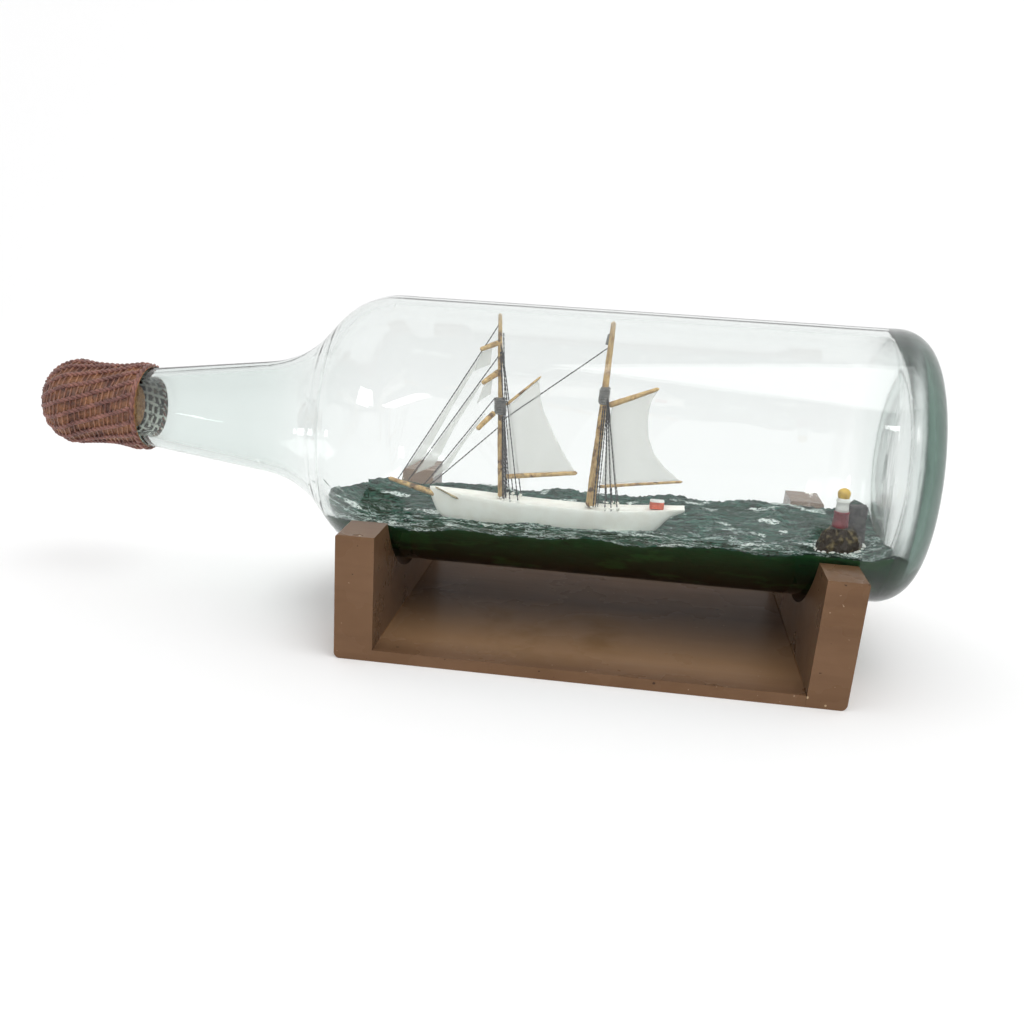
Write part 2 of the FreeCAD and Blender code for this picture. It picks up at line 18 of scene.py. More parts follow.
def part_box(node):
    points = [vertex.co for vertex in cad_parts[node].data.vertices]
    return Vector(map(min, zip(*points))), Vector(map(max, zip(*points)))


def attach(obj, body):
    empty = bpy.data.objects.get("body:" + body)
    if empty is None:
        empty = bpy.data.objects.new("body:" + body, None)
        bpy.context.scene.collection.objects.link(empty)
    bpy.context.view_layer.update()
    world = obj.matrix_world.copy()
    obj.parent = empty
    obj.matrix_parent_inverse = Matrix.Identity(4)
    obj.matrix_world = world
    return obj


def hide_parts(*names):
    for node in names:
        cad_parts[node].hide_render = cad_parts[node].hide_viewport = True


MM = 0.001

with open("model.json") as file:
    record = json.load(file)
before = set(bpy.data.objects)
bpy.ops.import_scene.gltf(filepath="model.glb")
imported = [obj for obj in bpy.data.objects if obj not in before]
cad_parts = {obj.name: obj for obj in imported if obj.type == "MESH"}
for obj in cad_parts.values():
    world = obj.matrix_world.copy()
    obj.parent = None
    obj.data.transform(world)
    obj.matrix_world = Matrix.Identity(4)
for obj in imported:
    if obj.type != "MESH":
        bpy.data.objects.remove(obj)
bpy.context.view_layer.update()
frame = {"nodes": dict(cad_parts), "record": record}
nodes = frame["nodes"]
scene = bpy.context.scene
random.seed(7)


# ---------------------------------------------------------------- camera
CAMERA_PLACE = Vector((0.0103, -0.3852, 0.1425))
CAMERA_YAW = -0.1126         # to the right of +Y, radians
CAMERA_PITCH = 0.2597        # downwards
CAMERA_ROLL = 0.0598
CAMERA_LENS = 38.14          # mm on a 36 mm sensor


def make_camera():
    flat = Vector((sin(CAMERA_YAW), cos(CAMERA_YAW), 0))
    ahead = flat * cos(CAMERA_PITCH) - Vector((0, 0, sin(CAMERA_PITCH)))
    level = Vector((flat.y, -flat.x, 0))
    up = level.cross(ahead)
    across = level * cos(CAMERA_ROLL) + up * sin(CAMERA_ROLL)
    upright = up * cos(CAMERA_ROLL) - level * sin(CAMERA_ROLL)
    turn = Matrix((across, upright, -ahead)).transposed().to_4x4()
    data = bpy.data.cameras.new("camera")
    data.lens = CAMERA_LENS
    data.sensor_width = 36
    data.clip_start = 0.01
    data.clip_end = 20
    camera = bpy.data.objects.new("camera", data)
    scene.collection.objects.link(camera)
    camera.matrix_world = Matrix.Translation(CAMERA_PLACE) @ turn
    scene.camera = camera


make_camera()


# ---------------------------------------------------------------- material kit
def rgb(r, g, b):
    """An sRGB colour from 0 to 255 as linear RGBA."""
    def linear(c):
        c /= 255
        return c / 12.92 if c <= 0.04045 else ((c + 0.055) / 1.055) ** 2.4
    return (linear(r), linear(g), linear(b), 1.0)


def grey(v):
    return (v, v, v, 1.0)


def darker(colour, share):
    return tuple(c * share for c in colour[:3]) + (1.0,)


class Paint:
    """A material's node tree, with short names for what it's built from."""

    def __init__(self, name):
        self.material = bpy.data.materials.new(name)
        self.material.use_nodes = True
        self.tree = self.material.node_tree
        self.tree.nodes.clear()
        self.out = self.node("OutputMaterial")

    def feed(self, socket, value):
        """Link a socket to a socket, or set its value."""
        if isinstance(value, bpy.types.NodeSocket):
            self.tree.links.new(value, socket)
        elif value is not None:
            socket.default_value = value

    def node(self, kind, **inputs):
        """A shader node; an input called From Min is given as From_Min."""
        node = self.tree.nodes.new("ShaderNode" + kind)
        for name, value in inputs.items():
            self.feed(node.inputs[name.replace("_", " ")], value)
        return node

    def place(self, x=1.0, y=1.0, z=1.0):
        """Object coordinates in metres, stretched along each axis."""
        coords = self.node("TexCoord").outputs["Object"]
        return self.node("Mapping", Vector=coords, Scale=(x, y, z)).outputs["Vector"]

    def at(self, axis):
        """The object coordinate X, Y or Z in metres."""
        return self.node("SeparateXYZ", Vector=self.place()).outputs[axis]

    def facing(self, axis):
        """The part X, Y or Z of the surface's normal."""
        normal = self.node("NewGeometry").outputs["Normal"]
        return self.node("SeparateXYZ", Vector=normal).outputs[axis]

    def near(self, point):
        """Distance in metres from a point given in millimetres."""
        node = self.node("VectorMath")
        node.operation = "DISTANCE"
        self.feed(node.inputs[0], self.place())
        self.feed(node.inputs[1], Vector(point) * MM)
        return node.outputs["Value"]

    def cloud(self, vector, scale=1.0, detail=4.0, rough=0.55, distortion=0.0):
        """Noise from 0 to 1."""
        return self.node("TexNoise", Vector=vector, Scale=scale, Detail=detail, Roughness=rough,
                         Distortion=distortion).outputs["Fac"]

    def maths(self, operation, a, b=0.0):
        node = self.node("Math")
        node.operation = operation
        self.feed(node.inputs[0], a)
        self.feed(node.inputs[1], b)
        return node.outputs[0]

    def times(self, a, b):
        return self.maths("MULTIPLY", a, b)

    def plus(self, a, b):
        return self.maths("ADD", a, b)

    def band(self, value, low, high, start=0.0, end=1.0):
        """start at low, end at high, straight between and level beyond."""
        return self.node("MapRange", Value=value, From_Min=low, From_Max=high,
                         To_Min=start, To_Max=end).outputs["Result"]

    def blend(self, share, a, b):
        """Colour a where share is 0 and b where it's 1."""
        node = self.tree.nodes.new("ShaderNodeMix")
        node.data_type = "RGBA"
        for index, value in ((0, share), (6, a), (7, b)):
            self.feed(node.inputs[index], value)
        return node.outputs[2]

    def bump(self, height, depth, strength=1.0, under=None):
        """A normal from a height of 0 to 1 that stands for depth metres."""
        return self.node("Bump", Height=height, Distance=depth, Strength=strength,
                         Normal=under).outputs["Normal"]

    def show(self, shader):
        self.feed(self.out.inputs["Surface"], shader.outputs[0])

    def surface(self, colour, rough, normal=None, **values):
        """A principled shader, shown on the surface."""
        shader = self.node("BsdfPrincipled", Base_Color=colour, Roughness=rough, Normal=normal, **values)
        self.show(shader)
        return shader

    def mix(self, share, a, b):
        """Shader a with this share of shader b, shown on the surface."""
        node = self.node("MixShader")
        for socket, value in zip(node.inputs, (share, a.outputs[0], b.outputs[0])):
            self.feed(socket, value)
        self.show(node)
        return node


# ---------------------------------------------------------------- glass
AXIS = Vector((0, 0, 67.94 * MM))       # a point on the bottle's axis
SCUFFED_FROM = 90 * MM                  # the wall is clear up to here and fully scuffed at SCUFFED_TO
SCUFFED_TO = 98 * MM
NECK_FROM = -98 * MM                    # the glass thickens up the neck from here to NECK_TO
NECK_TO = -128 * MM
NECK_TINT = (0.905, 0.93, 0.922, 1)
SHADOW_TINT = (0.985, 0.99, 0.987, 1)
THICKNESS_TINT = (0.27, 0.455, 0.385, 1)
THICKNESS_DENSITY = 29.0
KNURL_RADIUS = 33.5 * MM                # ring of small teeth moulded under the bottle's base
KNURL_HALF_WIDTH = 0.6 * MM
KNURL_FADE = 0.5 * MM
KNURL_COUNT = 96
KNURL_FROM = 103.5 * MM


def knurl_marks(p):
    """1 on each tooth of the ring under the base, 0 elsewhere."""
    up = p.maths("SUBTRACT", p.at("Z"), AXIS.z)
    side = p.at("Y")
    radius = p.maths("SQRT", p.plus(p.times(up, up), p.times(side, side)))
    off_ring = p.maths("ABSOLUTE", p.maths("SUBTRACT", radius, KNURL_RADIUS))
    ring = p.band(off_ring, KNURL_HALF_WIDTH + KNURL_FADE, KNURL_HALF_WIDTH)
    ring = p.times(ring, p.band(p.at("X"), KNURL_FROM, KNURL_FROM + 1 * MM))
    wave = p.maths("SINE", p.times(p.maths("ARCTAN2", side, up), KNURL_COUNT))
    return p.times(p.plus(p.times(wave, 0.5), 0.5), ring)


def bottle_glass():
    """Old moulded glass: slow waves all over, a scuffed and streaky base, faintly green in thickness."""
    p = Paint("bottle_glass")
    at_base = p.band(p.at("X"), SCUFFED_FROM, SCUFFED_TO)
    normal = p.bump(p.cloud(p.place(12, 40, 40), detail=2.0), 0.8 * MM, 0.13)
    streaks = p.cloud(p.place(40, 110, 30), detail=3.0, rough=0.6, distortion=0.3)
    normal = p.bump(p.times(streaks, at_base), 1.0 * MM, 0.35, normal)
    knurl = knurl_marks(p)
    normal = p.bump(knurl, 1.0 * MM, 1.0, normal)
    tint = p.blend(p.band(p.at("X"), NECK_FROM, NECK_TO), grey(1.0), NECK_TINT)
    glass = p.surface(tint, p.times(at_base, 0.24), normal, IOR=1.5, Transmission_Weight=1.0)
    marked = p.mix(p.times(knurl, 0.4), glass, p.node("BsdfDiffuse", Color=grey(0.25)))
    in_shadow = p.node("LightPath").outputs["Is Shadow Ray"]
    p.mix(in_shadow, marked, p.node("BsdfTransparent", Color=SHADOW_TINT))
    volume = p.node("VolumeAbsorption", Color=THICKNESS_TINT, Density=THICKNESS_DENSITY)
    p.feed(p.out.inputs["Volume"], volume.outputs[0])
    return p.material


# ---------------------------------------------------------------- stand paint
PLANK_TOP = 4.8 * MM
UPRIGHT_INNER_X = 74.5 * MM
PLANK_PAINTED_SHADE = 0.46                      # how strong the painted shade is on the plank, away from its front
UPRIGHT_PAINTED_SHADE = 0.30                    # and the painted shade on the inward faces of the end boards
STAIN_PLACE = (-14.0, -24.0, 3.9)
# Chips in the paint: where, and how far across, in millimetres
STAND_CHIPS = [((-75.6, -57.6, 42.6), 0.45), ((84.6, -57.6, 41.6), 0.5), ((70.6, -58.8, 3.4), 0.5),
               ((76.5, -58.8, 1.2), 0.35), ((84.6, -40.0, 42.4), 0.5), ((-70.2, -30.0, 42.2), 0.4)]


def brushed_brown(p, strokes, blotch):
    """The paint's own colour with dust, specks and chips."""
    colour = p.blend(p.band(blotch, 0.35, 0.65), rgb(109, 81, 58), rgb(121, 92, 69))
    colour = p.blend(p.times(p.band(strokes, 0.45, 0.7), 0.4), colour, rgb(92, 67, 48))
    dust = p.band(p.cloud(p.place(), 700.0, 1.0), 0.765, 0.78)
    colour = p.blend(p.times(dust, 0.5), colour, rgb(190, 165, 140))
    specks = p.band(p.cloud(p.place(z=1.3), 420.0, 1.0), 0.24, 0.225)
    colour = p.blend(p.times(specks, 0.8), colour, rgb(48, 36, 28))
    ragged = p.cloud(p.place(), 700.0, 3.0)
    for chip, size in STAND_CHIPS:
        edge = p.plus(p.near(chip), p.times(ragged, size * 1.6 * MM))
        colour = p.blend(p.band(edge, size * 1.75 * MM, size * 1.55 * MM), colour, rgb(182, 156, 124))
    return colour


def stand_paint():
    """Brown brushed paint, painted lighter along the plank's front as painted light, with painted shade under
    the bottle and on the end boards' inward faces, and stained under the bottle.
    """
    p = Paint("stand_paint")
    strokes = p.cloud(p.place(18, 160, 160), detail=5.0)
    blotch = p.cloud(p.place(), 26.0)
    colour = brushed_brown(p, strokes, blotch)
    on_plank = p.band(p.at("Z"), PLANK_TOP, PLANK_TOP - 0.6 * MM)
    under = p.times(on_plank, p.band(p.at("Y"), -32 * MM, 0.0))
    between_boards = p.band(p.maths("ABSOLUTE", p.at("X")), UPRIGHT_INNER_X, UPRIGHT_INNER_X - 2 * MM)
    inward = p.times(p.maths("ABSOLUTE", p.facing("X")), between_boards)
    # painted shade: the plank under the bottle and the end boards' inward faces are painted darker where
    # shade falls
    painted_shade = p.maths("MAXIMUM", p.times(under, PLANK_PAINTED_SHADE), p.times(inward, UPRIGHT_PAINTED_SHADE))
    colour = p.blend(painted_shade, colour, rgb(38, 28, 22))
    # painted light: the plank's front strip is painted lighter, standing in for light that reaches it under
    # the bottle
    front = p.times(p.band(p.at("Y"), -56 * MM, -44 * MM), p.band(p.at("Y"), 6 * MM, -22 * MM))
    colour = p.blend(p.times(p.times(on_plank, front), 0.75), colour, rgb(154, 120, 88))
    stain = p.band(p.near(STAIN_PLACE), 34 * MM, 20 * MM)
    stain = p.times(stain, p.band(p.cloud(p.place(), 60.0, 3.0), 0.42, 0.62))
    colour = p.blend(p.times(stain, 0.55), colour, rgb(118, 84, 40))
    rough = p.plus(p.times(p.band(blotch, 0.2, 0.8), 0.16), 0.20)
    rubbed = p.times(on_plank, p.band(p.at("Y"), -58 * MM, -40 * MM))
    p.surface(colour, rough, p.bump(strokes, 0.25 * MM, 0.45), IOR=1.5,
              Specular_IOR_Level=p.band(rubbed, 1.0, 0.0, 0.012, 0.12))
    return p.material


# ---------------------------------------------------------------- sea paint
def foam_marks(p, fine):
    """Flecks on the crests, more along the hull and at the near edge than far out."""
    crests = p.cloud(p.place(120, 300, 300), detail=6.0, rough=0.74, distortion=0.6)
    flecks = p.times(p.band(crests, 0.52, 0.565), p.band(fine, 0.38, 0.50))
    nearness = p.band(p.at("Y"), 8 * MM, -6 * MM)
    return p.times(flecks, p.plus(p.times(nearness, 0.6), 0.15))


def sea_paint():
    """Green putty: strokes, flecks and dabs of white on top, dark green where it's pressed on the glass."""
    p = Paint("putty")
    strokes = p.cloud(p.place(210, 520, 520), detail=6.0, rough=0.68, distortion=0.9)
    patches = p.cloud(p.place(42, 90, 90), rough=0.6)
    fine = p.cloud(p.place(900, 1500, 1500), detail=3.0, rough=0.6)
    top = p.blend(p.band(strokes, 0.42, 0.60), rgb(4, 24, 18), rgb(52, 98, 84))
    top = p.blend(p.times(p.band(patches, 0.5, 0.62), 0.7), top, rgb(14, 46, 34))
    top = p.blend(foam_marks(p, fine), top, rgb(198, 212, 208))
    clump = p.cloud(p.place(70, 130, 130), detail=2.0, rough=0.5)
    dabs = p.times(p.band(clump, 0.615, 0.66), p.band(fine, 0.42, 0.50))
    top = p.blend(dabs, top, rgb(226, 234, 230))
    side = p.blend(p.band(p.at("Z"), 29 * MM, 43.5 * MM), rgb(4, 20, 13), rgb(8, 66, 34))
    side = p.blend(p.band(strokes, 0.55, 0.75), side, rgb(7, 30, 22))
    side = p.blend(p.times(p.band(patches, 0.54, 0.62), 0.5), side, rgb(34, 92, 40))
    on_top = p.band(p.facing("Z"), 0.15, 0.45)
    p.surface(p.blend(on_top, side, top), 0.5, p.bump(strokes, 0.6 * MM, 0.8), IOR=1.4,
              Specular_IOR_Level=0.2)
    return p.material


# ---------------------------------------------------------------- the other materials
def painted(name, colour, rough=0.6, second=None, scale=500.0, low=0.4, high=0.62, depth=0.12 * MM):
    """Hand-brushed paint or plain material in two shades."""
    p = Paint(name)
    mottle = p.cloud(p.place(), scale)
    shades = p.blend(p.band(mottle, low, high), colour, second or darker(colour, 0.75))
    p.surface(shades, rough, p.bump(mottle, depth, 0.6))
    return p.material


def spar_wood():
    """Pale whittled wood, streaked along the spar, with stain in the hollows."""
    p = Paint("spar_wood")
    streaks = p.cloud(p.place(700, 700, 260), rough=0.6)
    knots = p.cloud(p.place(), 260.0, 2.0)
    colour = p.blend(p.band(streaks, 0.38, 0.64), rgb(210, 178, 120), rgb(160, 122, 72))
    colour = p.blend(p.band(knots, 0.56, 0.66), colour, rgb(96, 68, 42))
    p.surface(colour, 0.6, p.bump(streaks, 0.2 * MM, 0.8))
    return p.material


def sail_paper():
    """Thin white paper: it lets light through and shows what lies behind it."""
    p = Paint("sail_paper")
    fibres = p.cloud(p.place(500, 500, 900))
    stain = p.cloud(p.place(), 70.0, 2.0)
    colour = p.blend(p.band(stain, 0.4, 0.7), rgb(250, 250, 246), rgb(238, 238, 232))
    sheet = p.surface(colour, 0.85, p.bump(fibres, 0.06 * MM, 0.5))
    lit = p.mix(0.5, sheet, p.node("BsdfTranslucent", Color=rgb(252, 252, 248)))
    p.mix(0.54, lit, p.node("BsdfTransparent"))
    return p.material


def cord_material(name, dark, pale, rough=0.5):
    """Waxed cord: colour changes from strand to strand, fine lay lines."""
    p = Paint(name)
    tone = p.cloud(p.place(), 240.0, 3.0)
    lay = p.cloud(p.place(), 1500.0, 2.0)
    colour = p.blend(p.band(tone, 0.35, 0.65), dark, pale)
    colour = p.blend(p.times(p.band(lay, 0.45, 0.7), 0.5), colour, darker(dark, 0.4))
    p.surface(colour, rough, p.bump(lay, 0.15 * MM, 0.8), Sheen_Weight=0.2)
    return p.material


M = {
    "stand_paint": stand_paint(),
    "bright_steel": painted("bright_steel", rgb(150, 150, 152), 0.35),
    "bottle_glass": bottle_glass(),
    "cork": painted("cork", rgb(178, 134, 88), 0.85, rgb(130, 88, 52), 700.0),
    "cord": cord_material("cord", rgb(98, 54, 46), rgb(150, 98, 84), 0.42),
    "putty": sea_paint(),
    "hull_paint": painted("hull_paint", rgb(255, 254, 247), 0.5, rgb(250, 247, 238), 240.0),
    "orange_paint": painted("orange_paint", rgb(214, 98, 62), 0.6, rgb(180, 74, 48)),
    "spar_wood": spar_wood(),
    "dark_thread": cord_material("dark_thread", rgb(10, 8, 10), rgb(40, 35, 38), 0.8),
    "grey_thread": cord_material("grey_thread", rgb(92, 92, 92), rgb(140, 138, 132), 0.8),
    "sail_paper": sail_paper(),
    "pin_wire": painted("pin_wire", rgb(190, 160, 90), 0.35),
    "rock": painted("rock", rgb(38, 33, 27), 0.6, rgb(126, 112, 78), 460.0, 0.5, 0.70, 0.4 * MM),
    "red_paint": painted("red_paint", rgb(128, 5, 32), 0.45, rgb(104, 4, 24)),
    "white_paint": painted("white_paint", rgb(238, 238, 234), 0.5, rgb(220, 220, 214)),
    "yellow_paint": painted("yellow_paint", rgb(216, 178, 62), 0.45, rgb(190, 150, 50)),
    # shades that only the fine pieces use
    "dark_stone": painted("dark_stone", rgb(38, 36, 39), 0.6, rgb(72, 69, 68)),
    "foam": painted("foam", rgb(214, 224, 220), 0.5, rgb(150, 178, 168), 900.0),
    "pale_strand": cord_material("pale_strand", rgb(92, 84, 82), rgb(140, 130, 122), 0.8),
    "tail_thread": cord_material("tail_thread", rgb(112, 98, 74), rgb(186, 168, 128), 0.8),
    "cover_stitch": cord_material("cover_stitch", rgb(104, 58, 44), rgb(158, 106, 74), 0.4),
}
SLOT_OF = {row["node"]: row["material_slot"] for row in frame["record"]["subparts"]}


def dress(obj, slot, material=None):
    """Give an object its slot's material, or another."""
    obj.data.materials.clear()
    obj.data.materials.append(material or M[slot])


for node_name, slot_name in SLOT_OF.items():
    dress(nodes[node_name], slot_name)


# ---------------------------------------------------------------- mesh kit
class Build:
    """Collects vertices and faces for one mesh."""

    def __init__(self):
        self.points = []
        self.faces = []
        self.second = set()      # faces that take the second material

    def ring_strip(self, rings, cap_ends=True, closed=True):
        """Join rings of equal count, one after another, and close both ends."""
        start = len(self.points)
        count = len(rings[0])
        for ring in rings:
            self.points.extend(ring)
        span = count if closed else count - 1
        for i in range(len(rings) - 1):
            for j in range(span):
                a = start + i * count + j
                b = start + i * count + (j + 1) % count
                self.faces.append((a, b, b + count, a + count))
        if cap_ends:
            last = start + (len(rings) - 1) * count
            self.faces.append(tuple(range(start + count - 1, start - 1, -1)))
            self.faces.append(tuple(range(last, last + count)))

    def tube(self, path, radius, sides=8, wobble=0.0, seed=0.0):
        """A round tube along a path; radius is a number or a function of the share of the length."""
        rings = []
        side = None
        for i, p in enumerate(path):
            ahead = (path[min(i + 1, len(path) - 1)] - path[max(i - 1, 0)]).normalized()
            if side is None:
                side = ahead.orthogonal().normalized()
            side = (side - ahead * side.dot(ahead)).normalized()
            other = ahead.cross(side)
            share = i / (len(path) - 1)
            r = radius(share) if callable(radius) else radius
            ring = []
            for k in range(sides):
                a = 2 * pi * k / sides
                rough = 1.0
                if wobble:
                    rough += wobble * noise.noise(Vector((cos(a) + seed, sin(a), share * len(path) * 0.35)))
                ring.append(p + (side * cos(a) + other * sin(a)) * (r * rough))
            rings.append(ring)
        self.ring_strip(rings)

    def object(self, name, body, slot, replaces=(), material=None, second=None, smooth=True):
        mesh = bpy.data.meshes.new(name)
        mesh.from_pydata([tuple(p) for p in self.points], [], self.faces)
        for index in self.second:
            mesh.polygons[index].material_index = 1
        bm = bmesh.new()
        bm.from_mesh(mesh)
        bmesh.ops.recalc_face_normals(bm, faces=bm.faces)
        bm.to_mesh(mesh)
        bm.free()
        for polygon in mesh.polygons:
            polygon.use_smooth = smooth
        obj = bpy.data.objects.new(name, mesh)
        scene.collection.objects.link(obj)
        dress(obj, slot, material)
        if second:
            mesh.materials.append(second)
        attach(obj, body)
        if replaces:
            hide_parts(*replaces)
        return obj


def parts_of(node):
    """The loose parts of a CAD node, each as an array of its points."""
    bm = bmesh.new()
    bm.from_mesh(nodes[node].data)
    bmesh.ops.remove_doubles(bm, verts=bm.verts, dist=1e-7)
    left = set(bm.verts)
    parts = []
    while left:
        stack = [left.pop()]
        group = []
        while stack:
            v = stack.pop()
            group.append(tuple(v.co))
            for edge in v.link_edges:
                w = edge.other_vert(v)
                if w in left:
                    left.remove(w)
                    stack.append(w)
        parts.append(np.array(group))
    bm.free()
    return parts


END_SHARE = 0.12             # how much of a bar's length is looked at to measure each end


def rods_of(node):
    """Each bar of a CAD node as (end, end, radius, radius), read off its mesh."""
    rods = []
    for points in parts_of(node):
        centre = points.mean(0)
        along = np.linalg.svd(points - centre)[2][0]
        t = (points - centre) @ along
        ends = []
        for at in (t.min(), t.max()):
            close = points[np.abs(t - at) < END_SHARE * (t.max() - t.min())]
            spine = centre + np.outer((close - centre) @ along, along)
            ends.append((Vector(centre + along * at), float(np.linalg.norm(close - spine, axis=1).max())))
        rods.append((ends[0][0], ends[1][0], ends[0][1], ends[1][1]))
    return rods


def lathe(profile, start, along, sides=48, rough=0.0, seed=0.0):
    """Rings round an axis: profile is (distance along, radius) pairs in metres."""
    along = along.normalized()
    side = along.orthogonal().normalized()
    other = along.cross(side)
    rings = []
    for t, r in profile:
        ring = []
        for k in range(sides):
            a = 2 * pi * k / sides
            bumpy = r + rough * noise.noise(Vector((cos(a) * 2 + seed, sin(a) * 2, t * 400)))
            ring.append(start + along * t + (side * cos(a) + other * sin(a)) * max(bumpy, 1e-6))
        rings.append(ring)
    return rings


# ---------------------------------------------------------------- ship's spars, threads and lashings
def whittle(node, wobble=0.10, material=None):
    """A hand-cut spar in place of a CAD rod: slightly uneven, with rounded ends."""
    build = Build()
    for i, (a, b, ra, rb) in enumerate(rods_of(node)):
        length = (b - a).length
        count = max(12, int(length / (0.7 * MM)))
        path = []
        for k in range(count + 1):
            p = a.lerp(b, k / count)
            drift = Vector((noise.noise(p * 120), noise.noise(p * 120 + Vector((5, 0, 0))), 0)) * 0.12 * MM
            path.append(p + drift * min(1, k / 4, (count - k) / 4))

        def radius(share, ra=ra, rb=rb, length=length):
            from_end = min(share, 1 - share) * length
            r = ra + (rb - ra) * share
            return r * sqrt(max(0.05, 1 - max(0, 1 - from_end / (0.8 * r)) ** 2))
        build.tube(path, radius, 14, wobble, i * 3.0)
    build.object("carved_" + node, "bottle", SLOT_OF[node], [node], material)


THREAD_RADIUS = 0.24 * MM
THREAD_PITCH = 3.2 * MM
THREAD_REACH = 0.2 * MM      # how far a thread runs on into what it's tied to
THREAD_STRANDS = 2


def twist_thread(build, a, b):
    """Strands laid round each other between two points."""
    along = (b - a).normalized()
    a = a - along * THREAD_REACH
    b = b + along * THREAD_REACH
    side = along.orthogonal().normalized()
    other = along.cross(side)
    length = (b - a).length
    steps = max(4, int(length / THREAD_PITCH * 8))
    strand = THREAD_RADIUS * 0.54
    for s in range(THREAD_STRANDS):
        path = []
        for i in range(steps + 1):
            angle = 2 * pi * (length * i / steps / THREAD_PITCH + s / THREAD_STRANDS)
            off = (side * cos(angle) + other * sin(angle)) * (THREAD_RADIUS - strand)
            path.append(a.lerp(b, i / steps) + off)
        first = len(build.faces)
        build.tube(path, strand, 6)
        if s % 2:
            build.second.update(range(first, len(build.faces)))


def thread(node):
    """Laid threads in place of a CAD node's bars."""
    build = Build()
    for a, b, _, _ in rods_of(node):
        twist_thread(build, a, b)
    build.object("laid_" + node, "bottle", SLOT_OF[node], [node], second=M["pale_strand"])


# How a lashing's layers lean, how much of its height they cover, and their thread's radius in millimetres
LASHING_LAYERS = [(0.0, 1.0, 0.30), (0.6, 0.8, 0.24), (-0.5, 0.6, 0.24)]


def lashing(node, mast, turns):
    """Thread wound round a mast, close turns with a few crossing back over."""
    a, b, _, _ = rods_of(mast)[0]
    low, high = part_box(node)
    outer = (high.x - low.x) / 2
    if a.z > b.z:
        a, b = b, a
    build = Build()
    for layer, (lean, extent, size) in enumerate(LASHING_LAYERS):
        count = turns if layer == 0 else turns // 2
        path = []
        steps = count * 14
        for i in range(steps + 1):
            share = i / steps
            z = low.z + (high.z - low.z) * (0.5 + (share - 0.5) * extent * 0.92)
            centre = a.lerp(b, (z - a.z) / (b.z - a.z))
            angle = 2 * pi * count * share * (1 if layer != 1 else -1)
            r = outer - size * MM * 1.1 - (0.45 * MM if layer == 0 else 0.0)
            r *= 1 + 0.08 * noise.noise(Vector((angle * 0.6, layer * 9.0, 0)))
            slant = lean * MM * sin(angle)
            path.append(Vector((centre.x + r * cos(angle), centre.y + r * sin(angle), z + slant)))
        first = len(build.faces)
        build.tube(path, size * MM, 6)
        if layer:
            build.second.update(range(first, len(build.faces)))
    build.object("wound_" + node, "bottle", SLOT_OF[node], [node], second=M["pale_strand"])


SPARS = ["fore_mast", "main_mast", "bowsprit", "yard_topgallant", "yard_topsail", "yard_course", "fore_gaff",
         "fore_boom", "main_gaff", "main_boom"]
THREADS = ["topgallant_stay", "topmast_stay", "jib_stay", "fore_stay", "main_topmast_stay",
           "fore_shrouds_port", "fore_shrouds_starboard", "main_shrouds_port", "main_shrouds_starboard",
           "fore_halyards", "main_halyards"]
for name in SPARS:
    whittle(name)
for name in THREADS:
    thread(name)
whittle("pull_thread_tail", 0.2, M["tail_thread"])
lashing("fore_mast_lashing", "fore_mast", 10)
lashing("main_mast_lashing", "main_mast", 11)


# ---------------------------------------------------------------- hull
SHIP_Y = -2.0 * MM
# x, half breadth at the sheer, sheer height, keel height, in millimetres
HULL = [(-63.8, 0.4, 47.1, 45.0), (-62.4, 1.1, 47.0, 41.6), (-60.4, 1.9, 46.8, 37.6),
        (-56.0, 3.1, 46.4, 34.5), (-47.0, 4.3, 45.8, 33.5), (-36.0, 5.0, 45.2, 33.0),
        (-20.0, 5.2, 44.7, 33.0), (-4.0, 5.1, 44.6, 33.0), (10.0, 4.7, 45.4, 33.5),
        (18.0, 4.2, 46.2, 36.5), (24.0, 3.6, 46.8, 43.0), (29.3, 2.9, 47.3, 45.8)]


def smooth_through(rows, x):
    """Catmull-Rom through the rows, at x."""
    i = max(k for k in range(len(rows) - 1) if rows[k][0] <= x or k == 0)
    p = [np.array(rows[min(max(k, 0), len(rows) - 1)]) for k in (i - 1, i, i + 1, i + 2)]
    t = (x - p[1][0]) / (p[2][0] - p[1][0])
    m1 = (p[2] - p[0]) / max(p[2][0] - p[0][0], 1e-9) * (p[2][0] - p[1][0])
    m2 = (p[3] - p[1]) / max(p[3][0] - p[1][0], 1e-9) * (p[2][0] - p[1][0])
    h = (2 * t ** 3 - 3 * t ** 2 + 1, t ** 3 - 2 * t ** 2 + t, -2 * t ** 3 + 3 * t ** 2, t ** 3 - t ** 2)
    return h[0] * p[1] + h[1] * m1 + h[2] * p[2] + h[3] * m2


HULL_RINGS = 110
RAIL_WIDTH = 0.55            # mm
DECK_SUNK = 0.5


def hull_section(x):
    """Half the hull's outline across at x, as (y, z) from the middle of the deck to the keel."""
    _, half, sheer, keel = smooth_through(HULL, min(x, HULL[-1][0] - 1e-6))
    half = max(half, 0.3)
    rail = min(RAIL_WIDTH, half * 0.4)
    deck = sheer - min(DECK_SUNK, half * 0.3)
    side = [(0.0, deck), (half - rail - 0.1, deck), (half - rail, sheer - 0.06), (half - 0.08, sheer + 0.04)]
    for k in range(9):
        a = pi / 2 * k / 8
        side.append((half * cos(a) ** 0.55, sheer - 0.15 - (sheer - 0.15 - keel) * sin(a) ** 1.25))
    return side


